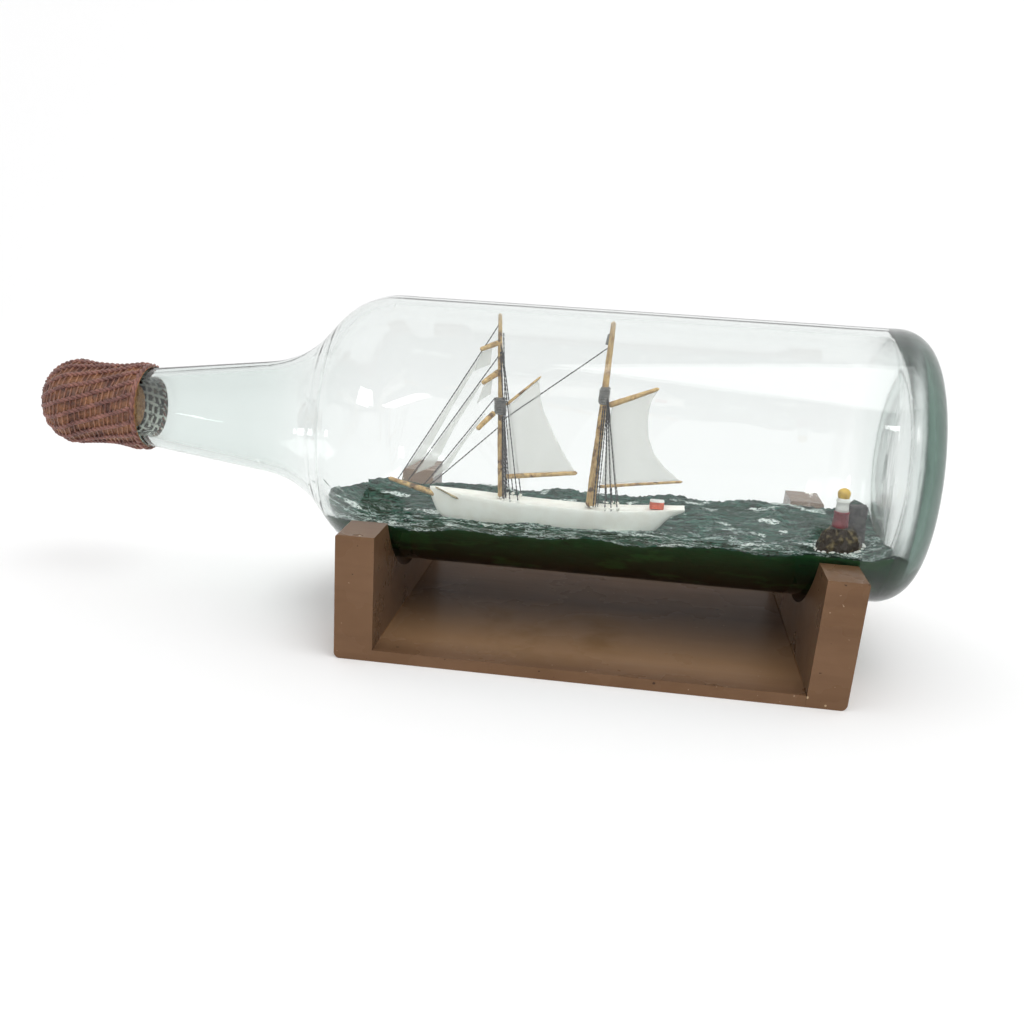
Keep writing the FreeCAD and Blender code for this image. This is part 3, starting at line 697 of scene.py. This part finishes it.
def make_hull():
    """A carved hull with a low rail round a sunk deck."""
    build = Build()
    rings = []
    for i in range(HULL_RINGS + 1):
        x = HULL[0][0] + (HULL[-1][0] - HULL[0][0]) * (i / HULL_RINGS) ** 1.15
        side = hull_section(x)
        points = []
        for y, z in side + [(-y, z) for y, z in reversed(side[1:-1])]:
            p = Vector((x, y, z))
            rough = 0.10 * noise.noise(p * 0.45) + 0.04 * noise.noise(p * 1.7)
            out = rough * (0.6 if y > 0 else -0.6)
            points.append(Vector((x, SHIP_Y / MM + y * (1 + 0.02 * rough) + out, z + rough * 0.5)) * MM)
        rings.append(points)
    build.ring_strip(rings)
    build.object("carved_hull", "bottle", "hull_paint", ["hull"])


make_hull()


def blob(build, centre, size, seed):
    """A dab of glue or paint: a rough, flattened ball."""
    rings = []
    for i in range(7):
        a = pi * (i + 0.5) / 7
        ring = []
        for k in range(10):
            b = 2 * pi * k / 10
            d = Vector((sin(a) * cos(b), sin(a) * sin(b), cos(a) * 0.6))
            ring.append(centre + d * size * (1 + 0.45 * noise.noise(d * 1.6 + Vector((seed, 0, 0)))))
        rings.append(ring)
    build.ring_strip(rings)


def glue_dabs():
    """Paint and glue at the foot of each shroud, the masts and the bowsprit."""
    build = Build()
    seed = 1.0
    for node in (name for name in THREADS if "shrouds" in name):
        for a, b, _, _ in rods_of(node):
            foot = a if a.z < b.z else b
            for _ in range(2):
                shift = Vector((random.uniform(-0.5, 0.5), random.uniform(-0.3, 0.3),
                                random.uniform(0.2, 0.9))) * MM
                blob(build, foot + shift, random.uniform(0.45, 0.75) * MM, seed)
                seed += 3.1
    for node, spread in (("fore_mast", 1.3), ("main_mast", 1.9), ("bowsprit", 1.2)):
        a, b, _, _ = rods_of(node)[0]
        foot = (a if a.z < b.z else b) + Vector((0, 0, 0.4 * MM))
        for k in range(5):
            angle = 2 * pi * k / 5
            blob(build, foot + Vector((cos(angle), sin(angle), 0.15)) * spread * MM, 0.6 * MM, seed)
            seed += 2.3
    build.object("glue_dabs", "bottle", "hull_paint")


glue_dabs()


# ---------------------------------------------------------------- sails
# Luff from foot to head, leech from foot to head (x, z), and belly, in millimetres
SAILS = {
    "fore_sail": ([(-35.4, 54.0), (-36.6, 79.0)],
                  [(-11.0, 57.2), (-14.6, 62.2), (-18.3, 68.3), (-21.2, 73.5), (-23.4, 77.6), (-25.0, 82.3),
                   (-26.0, 89.5)], 1.4),
    "main_sail": ([(-1.2, 53.4), (0.4, 82.2)],
                  [(26.4, 57.2), (20.6, 61.6), (16.4, 66.4), (14.2, 71.6), (13.4, 77.0), (13.4, 81.4),
                   (14.1, 85.2), (15.8, 88.4)], 1.6),
    "flying_jib": ([(-72.7, 53.4), (-46.6, 97.8)], [(-67.0, 57.0), (-58.0, 75.0), (-46.2, 97.6)], 0.7),
    "outer_jib": ([(-69.6, 51.4), (-47.0, 86.6)], [(-62.4, 55.2), (-55.6, 70.0), (-46.6, 86.4)], 0.7),
    "inner_jib": ([(-63.4, 49.9), (-45.0, 75.8)], [(-57.6, 54.2), (-51.8, 64.6), (-44.7, 75.6)], 0.6),
}
# The two square paper sails and the yard each one hangs from
SQUARE_SAILS = {"topgallant_sail": ("yard_topgallant", 5.6), "topsail": ("yard_topsail", 5.0)}   # yard, drop
PAPER_THICKNESS = 0.12 * MM


def along_line(points, share):
    """A point part of the way along a run of (x, z) points."""
    lengths = [hypot(b[0] - a[0], b[1] - a[1]) for a, b in zip(points, points[1:])]
    left = share * sum(lengths)
    for (a, b), length in zip(zip(points, points[1:]), lengths):
        if left <= length or b is points[-1]:
            t = min(left / length, 1.0)
            return a[0] + (b[0] - a[0]) * t, a[1] + (b[1] - a[1]) * t
        left -= length


def paper_sheet(node, grid):
    """A thin piece of paper through a grid of points, in place of a sail's CAD node."""
    build = Build()
    rows = len(grid)
    columns = len(grid[0])
    build.points = [p for row in grid for p in row]
    build.faces = [(i * columns + j, i * columns + j + 1, (i + 1) * columns + j + 1, (i + 1) * columns + j)
                   for i in range(rows - 1) for j in range(columns - 1)]
    obj = build.object("paper_" + node, "bottle", "sail_paper", [node])
    solid = obj.modifiers.new("thickness", "SOLIDIFY")
    solid.thickness = PAPER_THICKNESS
    solid.offset = 0
    return obj


def fore_and_aft_grid(luff, leech, belly, high=30, wide=22):
    """Rows from foot to head of a sail with a belly, soft creases and slightly ragged edges."""
    grid = []
    for i in range(high + 1):
        v = i / high
        x0, z0 = along_line(luff, v)
        x1, z1 = along_line(leech, v)
        row = []
        for j in range(wide + 1):
            u = j / wide
            x = x0 + (x1 - x0) * u
            z = z0 + (z1 - z0) * u
            swell = belly * (1 - (2 * u - 0.9) ** 2 / 1.3) * sin(pi * min(1.0, v * 0.9 + 0.08))
            crease = 0.12 * noise.noise(Vector((x * 0.25, z * 0.12, 0)))
            at_edge = u in (0, 1) or v in (0, 1)
            ragged = 0.18 * noise.noise(Vector((x * 1.3, z * 1.3, 4))) if at_edge else 0.0
            row.append(Vector((x + ragged, SHIP_Y / MM - 0.3 + 0.5 * swell + crease, z + ragged)) * MM)
        grid.append(row)
    return grid


def make_sails():
    for name, (luff, leech, belly) in SAILS.items():
        grid = fore_and_aft_grid(luff, leech, belly)
        obj = paper_sheet(name, grid)

    for name, (yard, drop) in SQUARE_SAILS.items():
        a, b, ra, rb = rods_of(yard)[0]
        near, far = (a, b) if a.y < b.y else (b, a)
        below = Vector((0, 0, -max(ra, rb) - 0.1 * MM))
        head_out = near.lerp(far, 0.06) + below
        head_in = near.lerp(far, 0.60) + below
        fall = Vector((-0.4, 0, -drop)) * MM
        foot_in = head_in + fall
        foot_out = head_out + fall + (head_out - head_in) * 0.5
        grid = []
        for i in range(15):
            v = i / 14
            row = []
            for j in range(17):
                u = j / 16
                p = head_in.lerp(foot_in, v).lerp(head_out.lerp(foot_out, v), u)
                p = p + Vector((-1, 0.3, 0)) * 0.5 * MM * sin(pi * u) * sin(pi * v * 0.8)
                row.append(p + Vector((0, 0, 0.15 * MM * noise.noise(p * 1200))))
            grid.append(row)
        paper_sheet(name, grid)


make_sails()


# ---------------------------------------------------------------- what the glass measures
def tree_of(node):
    mesh = nodes[node].data
    points = [v.co.copy() for v in mesh.vertices]
    return BVHTree.FromPolygons(points, [tuple(p.vertices) for p in mesh.polygons])


GLASS = tree_of("bottle_glass")
INSIDE_X = 80 * MM           # a place inside the body to look at the end wall from


def inner_radius(x):
    """Radius of the bottle's inner wall at x."""
    hit = GLASS.ray_cast(Vector((x, 0, AXIS.z)), Vector((0, 0, -1)))
    return hit[3] if hit[0] else 0.0


def inner_end(y, z):
    """Where the bottle's inner end wall is, along +X."""
    hit = GLASS.ray_cast(Vector((INSIDE_X, y, z)), Vector((1, 0, 0)))
    return hit[0].x if hit[0] else 100 * MM


# ---------------------------------------------------------------- sea
SEA_FROM = -108.0            # mm
SEA_TO = 95.6
SEA_PRESS = 0.30             # how far the putty beds into the glass's inner face
SEA_NOSE = 3.0               # how far the neck end bulges
SEA_LEVEL = 37.4
NEAR_RISE = 5.4              # how far the surface climbs to the wall on the near side
FAR_RISE = 2.8
WALL_POINTS = 40


def sea_height(x, y):
    """The dished surface with its swells, in millimetres."""
    across = (y + 2.0) / 34.0
    rise = NEAR_RISE if across < 0 else FAR_RISE
    swell = sin(x / 6.1 + y / 9.0) + 0.6 * sin(x / 3.7 - y / 5.2 + 1.0)
    bank = 4.8 * (max(0.0, -72.0 - x) / 30.0) ** 2 + 3.0 * (max(0.0, x - 86.0) / 10.0) ** 2
    return SEA_LEVEL + 0.02 * x + rise * across * across + bank + 0.5 * swell


def chop(x, y):
    """Short sharp strokes left by the brush, in millimetres."""
    long = noise.fractal(Vector((x * 0.16, y * 0.30, 1.0)), 1.0, 2.0, 4)
    short = 1 - abs(noise.noise(Vector((x * 0.45, y * 0.95 + 0.3 * sin(x * 0.3), 7.0)))) * 2
    sharp = 1 - abs(noise.noise(Vector((x * 0.9, y * 1.9, 3.0)))) * 2
    return 0.25 * long + 0.5 * (short - 0.75) + 0.3 * (sharp - 0.6)


def on_sea(x, y):
    """A point of the painted surface, in millimetres."""
    return Vector((x, y, sea_height(x, y) + chop(x, y)))


def sea_ring(x, top_count):
    """The sea's outline across at x: over the top, then down round the glass."""
    axis = AXIS.z / MM
    radius = inner_radius(x * MM) / MM + SEA_PRESS
    edges = []
    for side in (-1, 1):
        y = side * radius * 0.6
        for _ in range(20):
            drop = axis - sea_height(x, y) - chop(x, y)
            y = side * sqrt(max(radius * radius - drop * drop, 0.01))
        edges.append(y)
    ring = [on_sea(x, edges[0] + (edges[1] - edges[0]) * j / top_count) for j in range(top_count + 1)]
    low = atan2(ring[0].z - axis, ring[0].y)
    high = atan2(ring[-1].z - axis, ring[-1].y)
    low = low + 2 * pi if low > 0 else low
    for j in range(1, WALL_POINTS):
        a = high + (low - high) * j / WALL_POINTS
        ring.append(Vector((x, radius * cos(a), axis + radius * sin(a))))
    return [p * MM for p in ring]


def middle_of(ring):
    return sum(ring, Vector()) / len(ring)


def make_sea():
    count = 250
    top_count = 130
    rings = [sea_ring(SEA_FROM + (SEA_TO - SEA_FROM) * i / count, top_count) for i in range(count + 1)]
    last = rings[-1]
    centre = middle_of(last)
    for k in range(12):
        shrunk = [p.lerp(centre, k / 12) for p in last]
        rings.append([Vector((inner_end(q.y, q.z) + SEA_PRESS * MM, q.y, q.z)) for q in shrunk])
    first = rings[0]
    centre = middle_of(first)
    nose = []
    for k in range(6, 0, -1):
        share = k / 7
        back = Vector((sqrt(share) * SEA_NOSE * MM, 0, 0))
        nose.append([p.lerp(centre, share) - back for p in first])
    build = Build()
    build.ring_strip(nose + rings)
    build.object("painted_sea", "bottle", "putty", ["sea_putty"])


make_sea()


# ---------------------------------------------------------------- lighthouse, deckhouse, rock, cork
def rough_copy(name, node, voxel, height, scale, material=None, crisp=0.0, body="bottle"):
    """A CAD piece re-cut with uneven, worn faces."""
    source = nodes[node]
    obj = bpy.data.objects.new(name, source.data.copy())
    scene.collection.objects.link(obj)
    obj.matrix_world = source.matrix_world.copy()
    remesh = obj.modifiers.new("remesh", "REMESH")
    remesh.mode = "VOXEL"
    remesh.voxel_size = voxel
    depsgraph = bpy.context.evaluated_depsgraph_get()
    fine = bpy.data.meshes.new_from_object(obj.evaluated_get(depsgraph))
    obj.modifiers.clear()
    obj.data = fine
    for vertex in fine.vertices:
        p = vertex.co
        d = noise.fractal(p * scale, 1.0, 2.0, 4)
        if crisp:
            d -= crisp * abs(noise.noise(p * scale * 0.5))
        vertex.co = p + vertex.normal * (d * height)
    for polygon in fine.polygons:
        polygon.use_smooth = crisp == 0.0
    slot = SLOT_OF[node]
    dress(obj, slot, material)
    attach(obj, body)
    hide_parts(node)


# Outlines as (share of the height, share of the radius)
RED_BASE = [(0, 1.02), (0.15, 1.0), (0.5, 0.95), (0.86, 0.91), (0.9, 0.97), (0.97, 0.97), (1.0, 0.9)]
WHITE_TOWER = [(0, 0.98), (0.3, 0.96), (0.62, 0.9), (0.7, 1.02), (0.8, 1.03), (0.86, 0.92), (1.0, 0.9)]
DOME = [(0, 0.9), (0.12, 0.92), (0.3, 1.0), (0.4, 1.0)]
DOME += [(0.4 + 0.6 * sin(pi / 2 * k / 8), cos(pi / 2 * k / 8)) for k in range(1, 9)]
DOME_CURVE_FROM = 0.4        # share of the dome's height where its round top begins


def turned(name, node, outline, sink, rough, seed, fuller=0.0):
    """An upright turned piece, sunk a little into what's below it; lengths are in millimetres."""
    base_low, base_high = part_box("lighthouse_red_base")
    low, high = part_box(node)
    radius = (high.x - low.x) / 2
    profile = []
    for share, part in outline:
        extra = fuller * MM if share > DOME_CURVE_FROM else 0.0
        profile.append((share * (high.z - low.z), part * radius + extra))
    profile[0] = (-sink * MM, profile[0][1])
    foot = Vector(((base_low.x + base_high.x) / 2, (base_low.y + base_high.y) / 2, low.z))
    build = Build()
    build.ring_strip(lathe(profile, foot, Vector((0, 0, 1)), 32, rough * MM, seed))
    build.object(name, "bottle", SLOT_OF[node], [node])


def squared_ring(middle, half, z, grow, power, rough=0.0):
    """A ring at z between an oval and a rectangle."""
    ring = []
    for k in range(32):
        a = 2 * pi * (k + 0.5) / 32
        c = abs(cos(a)) ** power * (1 if cos(a) > 0 else -1)
        s = abs(sin(a)) ** power * (1 if sin(a) > 0 else -1)
        p = Vector((middle.x + half.x * grow * c, middle.y + half.y * grow * s, z))
        if rough:
            p += Vector((noise.noise(p * 900), noise.noise(p * 900 + Vector((9, 0, 0))), 0)) * rough
        ring.append(p)
    return ring


def make_deckhouse():
    low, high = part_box("deckhouse")
    middle = (low + high) / 2
    half = (high - low) / 2
    walls = Build()
    walls.ring_strip([squared_ring(middle, half, z, grow, 0.28, 0.12 * MM) for z, grow in (
        (low.z, 0.98), (low.z + 0.3 * MM, 1.0), (high.z - 0.5 * MM, 0.97), (high.z - 0.2 * MM, 0.93),
        (high.z, 0.80))])
    walls.object("carved_deckhouse", "bottle", "orange_paint", ["deckhouse"])
    roof = Build()
    roof.ring_strip([squared_ring(middle, half, high.z + up * MM, grow, 0.3) for up, grow in (
        (-0.25, 0.90), (0.02, 1.0), (0.25, 0.96))])
    roof.object("deckhouse_roof_paint", "bottle", "white_paint")


def hull_foam():
    """Flecks of pale paint along the waterline, thickest on the near side."""
    build = Build()
    seed = 80.0
    for k in range(120):
        x = random.uniform(-62, 26)
        _, half, _, _ = smooth_through(HULL, x)
        out = random.uniform(0.2, 1.6) if k % 3 else random.uniform(0.2, 4.0)
        y = SHIP_Y / MM - half * 0.93 - out if k % 4 else SHIP_Y / MM + half * 0.93 + out
        size = random.uniform(0.18, 0.42)
        fleck = on_sea(x, y) * MM
        for _ in range(random.randint(1, 3)):
            blob(build, fleck, size * MM, seed)
            fleck = fleck + Vector((random.uniform(0.3, 0.9), random.uniform(-0.3, 0.3), 0)) * MM
            seed += 1.9
    build.object("waterline_foam", "bottle", "white_paint", material=M["foam"])


def rock_foam():
    """Dabs of white paint where the sea breaks on the rock."""
    low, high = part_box("lighthouse_rock")
    middle = (low + high) / 2
    build = Build()
    seed = 50.0
    for k in range(26):
        a = 2 * pi * k / 26 + random.uniform(-0.1, 0.1)
        x = middle.x / MM + (high.x - low.x) / MM * 0.47 * cos(a)
        y = middle.y / MM + (high.y - low.y) / MM * 0.47 * sin(a)
        wall = inner_radius(min(x, 100) * MM) / MM - 1.0
        if hypot(y, sea_height(x, y) - AXIS.z / MM) > wall or x > 95:
            continue
        blob(build, on_sea(x, y) * MM, random.uniform(0.5, 1.0) * MM, seed)
        seed += 1.7
    build.object("foam_dabs", "bottle", "white_paint")


turned("red_base", "lighthouse_red_base", RED_BASE, 0.0, 0.07, 1.0)
turned("white_tower", "lighthouse_white_tower", WHITE_TOWER, 0.1, 0.06, 4.0)
turned("lantern_dome", "lighthouse_lantern_dome", DOME, 0.1, 0.08, 9.0, fuller=0.05)
make_deckhouse()
hull_foam()
rock_foam()
rough_copy("cut_rock", "lighthouse_rock", 0.45 * MM, 0.9 * MM, 330, crisp=0.8)
rough_copy("cut_block", "harbour_block", 0.4 * MM, 0.35 * MM, 420, material=M["dark_stone"])
rough_copy("cut_cork", "cork_stopper", 0.5 * MM, 0.12 * MM, 900, body="closure")


# ---------------------------------------------------------------- cord cover
COVER = tree_of("cord_cover")
COVER_ROWS = 19
COVER_CLOSED_X = -212.0      # mm
COVER_OPEN_X = -171.5
ROW_END_X = -173.2
ROW_LEAN = 1.05              # radians a row goes round over the cover's length
ROW_RADIUS = 0.95            # mm
ROW_STRAND = ROW_RADIUS * 0.56
ROW_PITCH = 3.4
BORDER_TWISTS = 17
STITCH_RADIUS = 0.40
STITCH_STEP = 2.1
STITCH_SLANT = 0.55
LINING_DEPTH = 1.15          # how far the layer behind the cords lies under their tops
INSIDE_LENGTH = 41.4


def cover_radius(x):
    """Outer radius of the cover at x, in millimetres."""
    hit = COVER.ray_cast(Vector((x * MM, 0, AXIS.z + 60 * MM)), Vector((0, 0, -1)))
    return 60.0 - hit[3] / MM if hit[0] else 0.0


def cover_inside(x):
    """Inner radius of the cover at x, in millimetres."""
    hit = COVER.ray_cast(Vector((x * MM, 0, AXIS.z)), Vector((0, 0, 1)))
    return hit[3] / MM if hit[0] else 0.0


def round_axis(x, r, angle):
    return Vector((x * MM, r * sin(angle) * MM, AXIS.z + r * cos(angle) * MM))


def knit(p, side, up):
    """1 on the strands seen on the cover's inner face, 0 in the holes between them."""
    angle = p.plus(p.maths("ARCTAN2", side, up), p.times(p.cloud(p.place(), 170.0, 2.0), 0.22))
    lean = p.times(p.at("X"), ROW_LEAN * 1000 / (COVER_OPEN_X - COVER_CLOSED_X))
    rows = p.maths("SINE", p.times(p.maths("SUBTRACT", angle, lean), COVER_ROWS))
    along = p.plus(p.at("X"), p.times(p.cloud(p.place(), 200.0, 2.0), 2.0 * MM))
    rungs = p.maths("SINE", p.times(along, 2 * pi / (STITCH_STEP * MM)))
    strands = p.maths("MAXIMUM", p.band(rows, 0.1, 0.8), p.band(rungs, -0.1, 0.7))
    return p.times(strands, p.band(p.cloud(p.place(), 420.0, 3.0), 0.36, 0.50))


def cover_lining():
    """The layer behind the cords: dark brown outside, its inner face a pale grey knit with its holes painted
    dark as painted shade.
    """
    p = Paint("cover_base")
    tone = p.cloud(p.place(), 240.0, 3.0)
    outside = p.blend(p.band(tone, 0.35, 0.65), rgb(74, 38, 28), rgb(134, 88, 54))
    edge = p.band(p.at("X"), (ROW_END_X - 1) * MM, (ROW_END_X + 0.2) * MM)
    outside = p.blend(edge, outside, rgb(158, 106, 68))
    up = p.maths("SUBTRACT", p.at("Z"), AXIS.z)
    side = p.at("Y")
    strands = knit(p, side, up)
    # painted shade: the holes between the knit's strands are painted near black
    inside = p.blend(strands, rgb(40, 36, 32), rgb(236, 234, 226))
    outward = p.plus(p.times(side, p.facing("Y")), p.times(up, p.facing("Z")))
    colour = p.blend(p.band(outward, 1 * MM, -1 * MM), outside, inside)
    p.surface(colour, 0.5, p.bump(strands, 0.4 * MM, 0.7))
    return p.material


def cover_outline():
    """The cover's outer outline as (x, radius), closer together at its round closed end."""
    outline = []
    for i in range(61):
        x = COVER_CLOSED_X + 0.1 + (COVER_OPEN_X - COVER_CLOSED_X - 0.1) * (i / 60) ** 1.3
        outline.append((x, cover_radius(min(x, COVER_OPEN_X - 0.05))))
    return outline


def make_cover_base(outline):
    """The layer behind the cords, down the outside, round the skirt's edge and up the inside."""
    profile = [(outline[0][0] + 0.8, 0.0)]
    for x, r in outline:
        near_open = min(1.0, max(0.0, (x - ROW_END_X + 1.0) / 1.6))
        profile.append((x + (0.8 if r < 9 else 0.0), max(r - LINING_DEPTH + 0.15 * near_open, 0.1)))
    profile.append((COVER_OPEN_X - 0.1, cover_inside(COVER_OPEN_X - 1) + 0.3))
    inside = [COVER_OPEN_X - 0.4 - INSIDE_LENGTH * i / 30 for i in range(31)]
    profile += [(x, cover_inside(x)) for x in inside if cover_inside(x) > 1]
    profile.append((profile[-1][0], 0.0))
    start = Vector((COVER_CLOSED_X * MM, 0, AXIS.z))
    base = Build()
    base.ring_strip(lathe([((x - COVER_CLOSED_X) * MM, r * MM) for x, r in profile], start, Vector((1, 0, 0)),
                          72, 0.12 * MM, 2.0))
    base.object("cover_base", "closure", "cord", ["cord_cover"], material=cover_lining())


def row_track(outline):
    """One row's run over the closed end's rim and along to the skirt, as close (x, radius) points."""
    track = [(COVER_CLOSED_X + ROW_RADIUS + 0.1, r) for r in (2.6, 4.0, 5.0)]
    track += [(x + 0.5 * max(0.0, 12.0 - r) / 6, r - ROW_RADIUS + 0.1) for x, r in outline
              if COVER_CLOSED_X + 1.2 < x < ROW_END_X]
    dense = []
    for (x0, r0), (x1, r1) in zip(track, track[1:]):
        count = max(1, int(hypot(x1 - x0, r1 - r0) / 0.35))
        dense += [(x0 + (x1 - x0) * k / count, r0 + (r1 - r0) * k / count) for k in range(count)]
    return dense + [track[-1]]


def row_angle(row, share, along):
    """Where a row is round the axis; share is how far along it is, along the same in millimetres."""
    wander = 0.02 * noise.noise(Vector((row * 3.7, along * 0.12, 0)))
    return 2 * pi * row / COVER_ROWS + ROW_LEAN * (share - 0.5) + wander


def make_rows(track, lengths):
    """Two-strand cords down the cover and one round its open edge."""
    rows = Build()
    for row in range(COVER_ROWS):
        spine = [round_axis(x, r, row_angle(row, s / lengths[-1], s)) for (x, r), s in zip(track, lengths)]
        for side in (0, 1):
            path = []
            for i, p in enumerate(spine):
                ahead = (spine[min(i + 1, len(spine) - 1)] - spine[max(i - 1, 0)]).normalized()
                inner_x = min(p.x + 6 * MM, -200 * MM) if p.x < -203 * MM else p.x
                out = (p - Vector((inner_x, 0, AXIS.z))).normalized()
                out = (out - ahead * out.dot(ahead)).normalized()
                across = ahead.cross(out)
                a = 2 * pi * lengths[i] / ROW_PITCH + side * pi + row
                path.append(p + (out * cos(a) + across * sin(a)) * (ROW_RADIUS - ROW_STRAND) * MM)
            rows.tube(path, ROW_STRAND * MM, 7)
    border_x = COVER_OPEN_X - ROW_RADIUS - 0.1
    border_r = cover_radius(COVER_OPEN_X - 0.4) - ROW_RADIUS + 0.1
    for side in (0, 1):
        path = []
        for k in range(241):
            a = 2 * pi * k / 240
            twist = a * BORDER_TWISTS + side * pi
            path.append(round_axis(border_x + (ROW_RADIUS - ROW_STRAND) * cos(twist),
                                   border_r + (ROW_RADIUS - ROW_STRAND) * sin(twist), a))
        rows.tube(path, ROW_STRAND * MM, 7)
    rows.object("cover_rows", "closure", "cord")


def make_stitches(track, lengths):
    """Slanting stitches from each row to the next."""
    total = lengths[-1]
    stitches = Build()
    for row in range(COVER_ROWS):
        s = 5.5 + 0.7 * (row % 3)
        while s < total - 0.8:
            ends = []
            for shift in (0, 1):
                at = s + shift * STITCH_SLANT + random.uniform(-0.15, 0.15)
                i = min(range(len(lengths)), key=lambda k: abs(lengths[k] - at))
                ends.append((*track[i], row_angle(row + shift, lengths[i] / total, lengths[i])))
            path = []
            for k in range(7):
                t = k / 6
                x, r, angle = (a + (b - a) * t for a, b in zip(*ends))
                path.append(round_axis(x, r - 0.30 * sin(pi * t) - 0.05, angle))
            stitches.tube(path, STITCH_RADIUS * MM * random.uniform(0.85, 1.1), 6)
            s += STITCH_STEP * random.uniform(0.9, 1.1)
    stitches.object("cover_stitches", "closure", "cord", material=M["cover_stitch"])


def make_cover():
    outline = cover_outline()
    make_cover_base(outline)
    track = row_track(outline)
    lengths = [0.0]
    for (x0, r0), (x1, r1) in zip(track, track[1:]):
        lengths.append(lengths[-1] + hypot(x1 - x0, r1 - r0))
    make_rows(track, lengths)
    make_stitches(track, lengths)


make_cover()


# ---------------------------------------------------------------- stand
for node in ("stand_plank", "stand_upright_neck_end", "stand_upright_base_end"):
    edge = nodes[node].modifiers.new("worn edges", "BEVEL")
    edge.width = 1.5 * MM
    edge.segments = 3
    edge.limit_method = "ANGLE"
    edge.angle_limit = radians(35)


# ---------------------------------------------------------------- floor and light
FLOOR_BACK = 0.9             # metres from here on: where the floor starts to sweep up
SWEEP_RADIUS = 0.6
STAGE_HALF_WIDTH = 4.0
STAGE_WHITE = 0.955
# name, place, width, height, power: seen only as highlights in the glass
WINDOWS = [("left window, wide pane", (-0.72, -1.12, 0.84), 0.34, 0.36, 3.6),
           ("left window, narrow pane", (-0.383, -1.25, 0.89), 0.022, 0.36, 0.22),
           ("right window", (0.52, -1.08, 0.93), 0.22, 0.30, 3.0)]


def make_stage():
    """A white floor that sweeps up into a white backdrop."""
    outline = [(-3.0, 0.0), (FLOOR_BACK, 0.0)]
    for k in range(1, 13):
        a = pi / 2 * k / 12
        outline.append((FLOOR_BACK + SWEEP_RADIUS * sin(a), SWEEP_RADIUS * (1 - cos(a))))
    outline.append((FLOOR_BACK + SWEEP_RADIUS, 3.0))
    points = [(x, y, z) for y, z in outline for x in (-STAGE_HALF_WIDTH, STAGE_HALF_WIDTH)]
    faces = [(2 * i, 2 * i + 1, 2 * i + 3, 2 * i + 2) for i in range(len(outline) - 1)]
    mesh = bpy.data.meshes.new("stage")
    mesh.from_pydata(points, [], faces)
    for polygon in mesh.polygons:
        polygon.use_smooth = True
    obj = bpy.data.objects.new("stage", mesh)
    scene.collection.objects.link(obj)
    p = Paint("stage")
    p.surface(grey(STAGE_WHITE), 0.9)
    mesh.materials.append(p.material)


def area_light(name, place, aim, width, height, power, lights_up):
    """A lamp; with lights_up off it's only seen as a highlight in the glass."""
    data = bpy.data.lights.new(name, "AREA")
    data.shape = "RECTANGLE"
    data.size = width
    data.size_y = height
    data.energy = power
    obj = bpy.data.objects.new(name, data)
    scene.collection.objects.link(obj)
    obj.location = place
    obj.rotation_euler = (Vector(aim) - Vector(place)).to_track_quat("-Z", "Y").to_euler()
    obj.visible_diffuse = lights_up


def make_light():
    world = bpy.data.worlds.new("studio")
    scene.world = world
    world.use_nodes = True
    back = world.node_tree.nodes["Background"]
    back.inputs["Color"].default_value = (1, 1, 1, 1)
    back.inputs["Strength"].default_value = 1.0
    area_light("overhead", (0.45, -0.35, 1.5), (0, 0, 0.03), 0.9, 0.9, 5.0, True)
    for name, place, width, height, power in WINDOWS:
        area_light(name, place, AXIS, width, height, power, False)
    scene.view_settings.view_transform = "Standard"
    scene.view_settings.look = "None"


make_stage()
make_light()
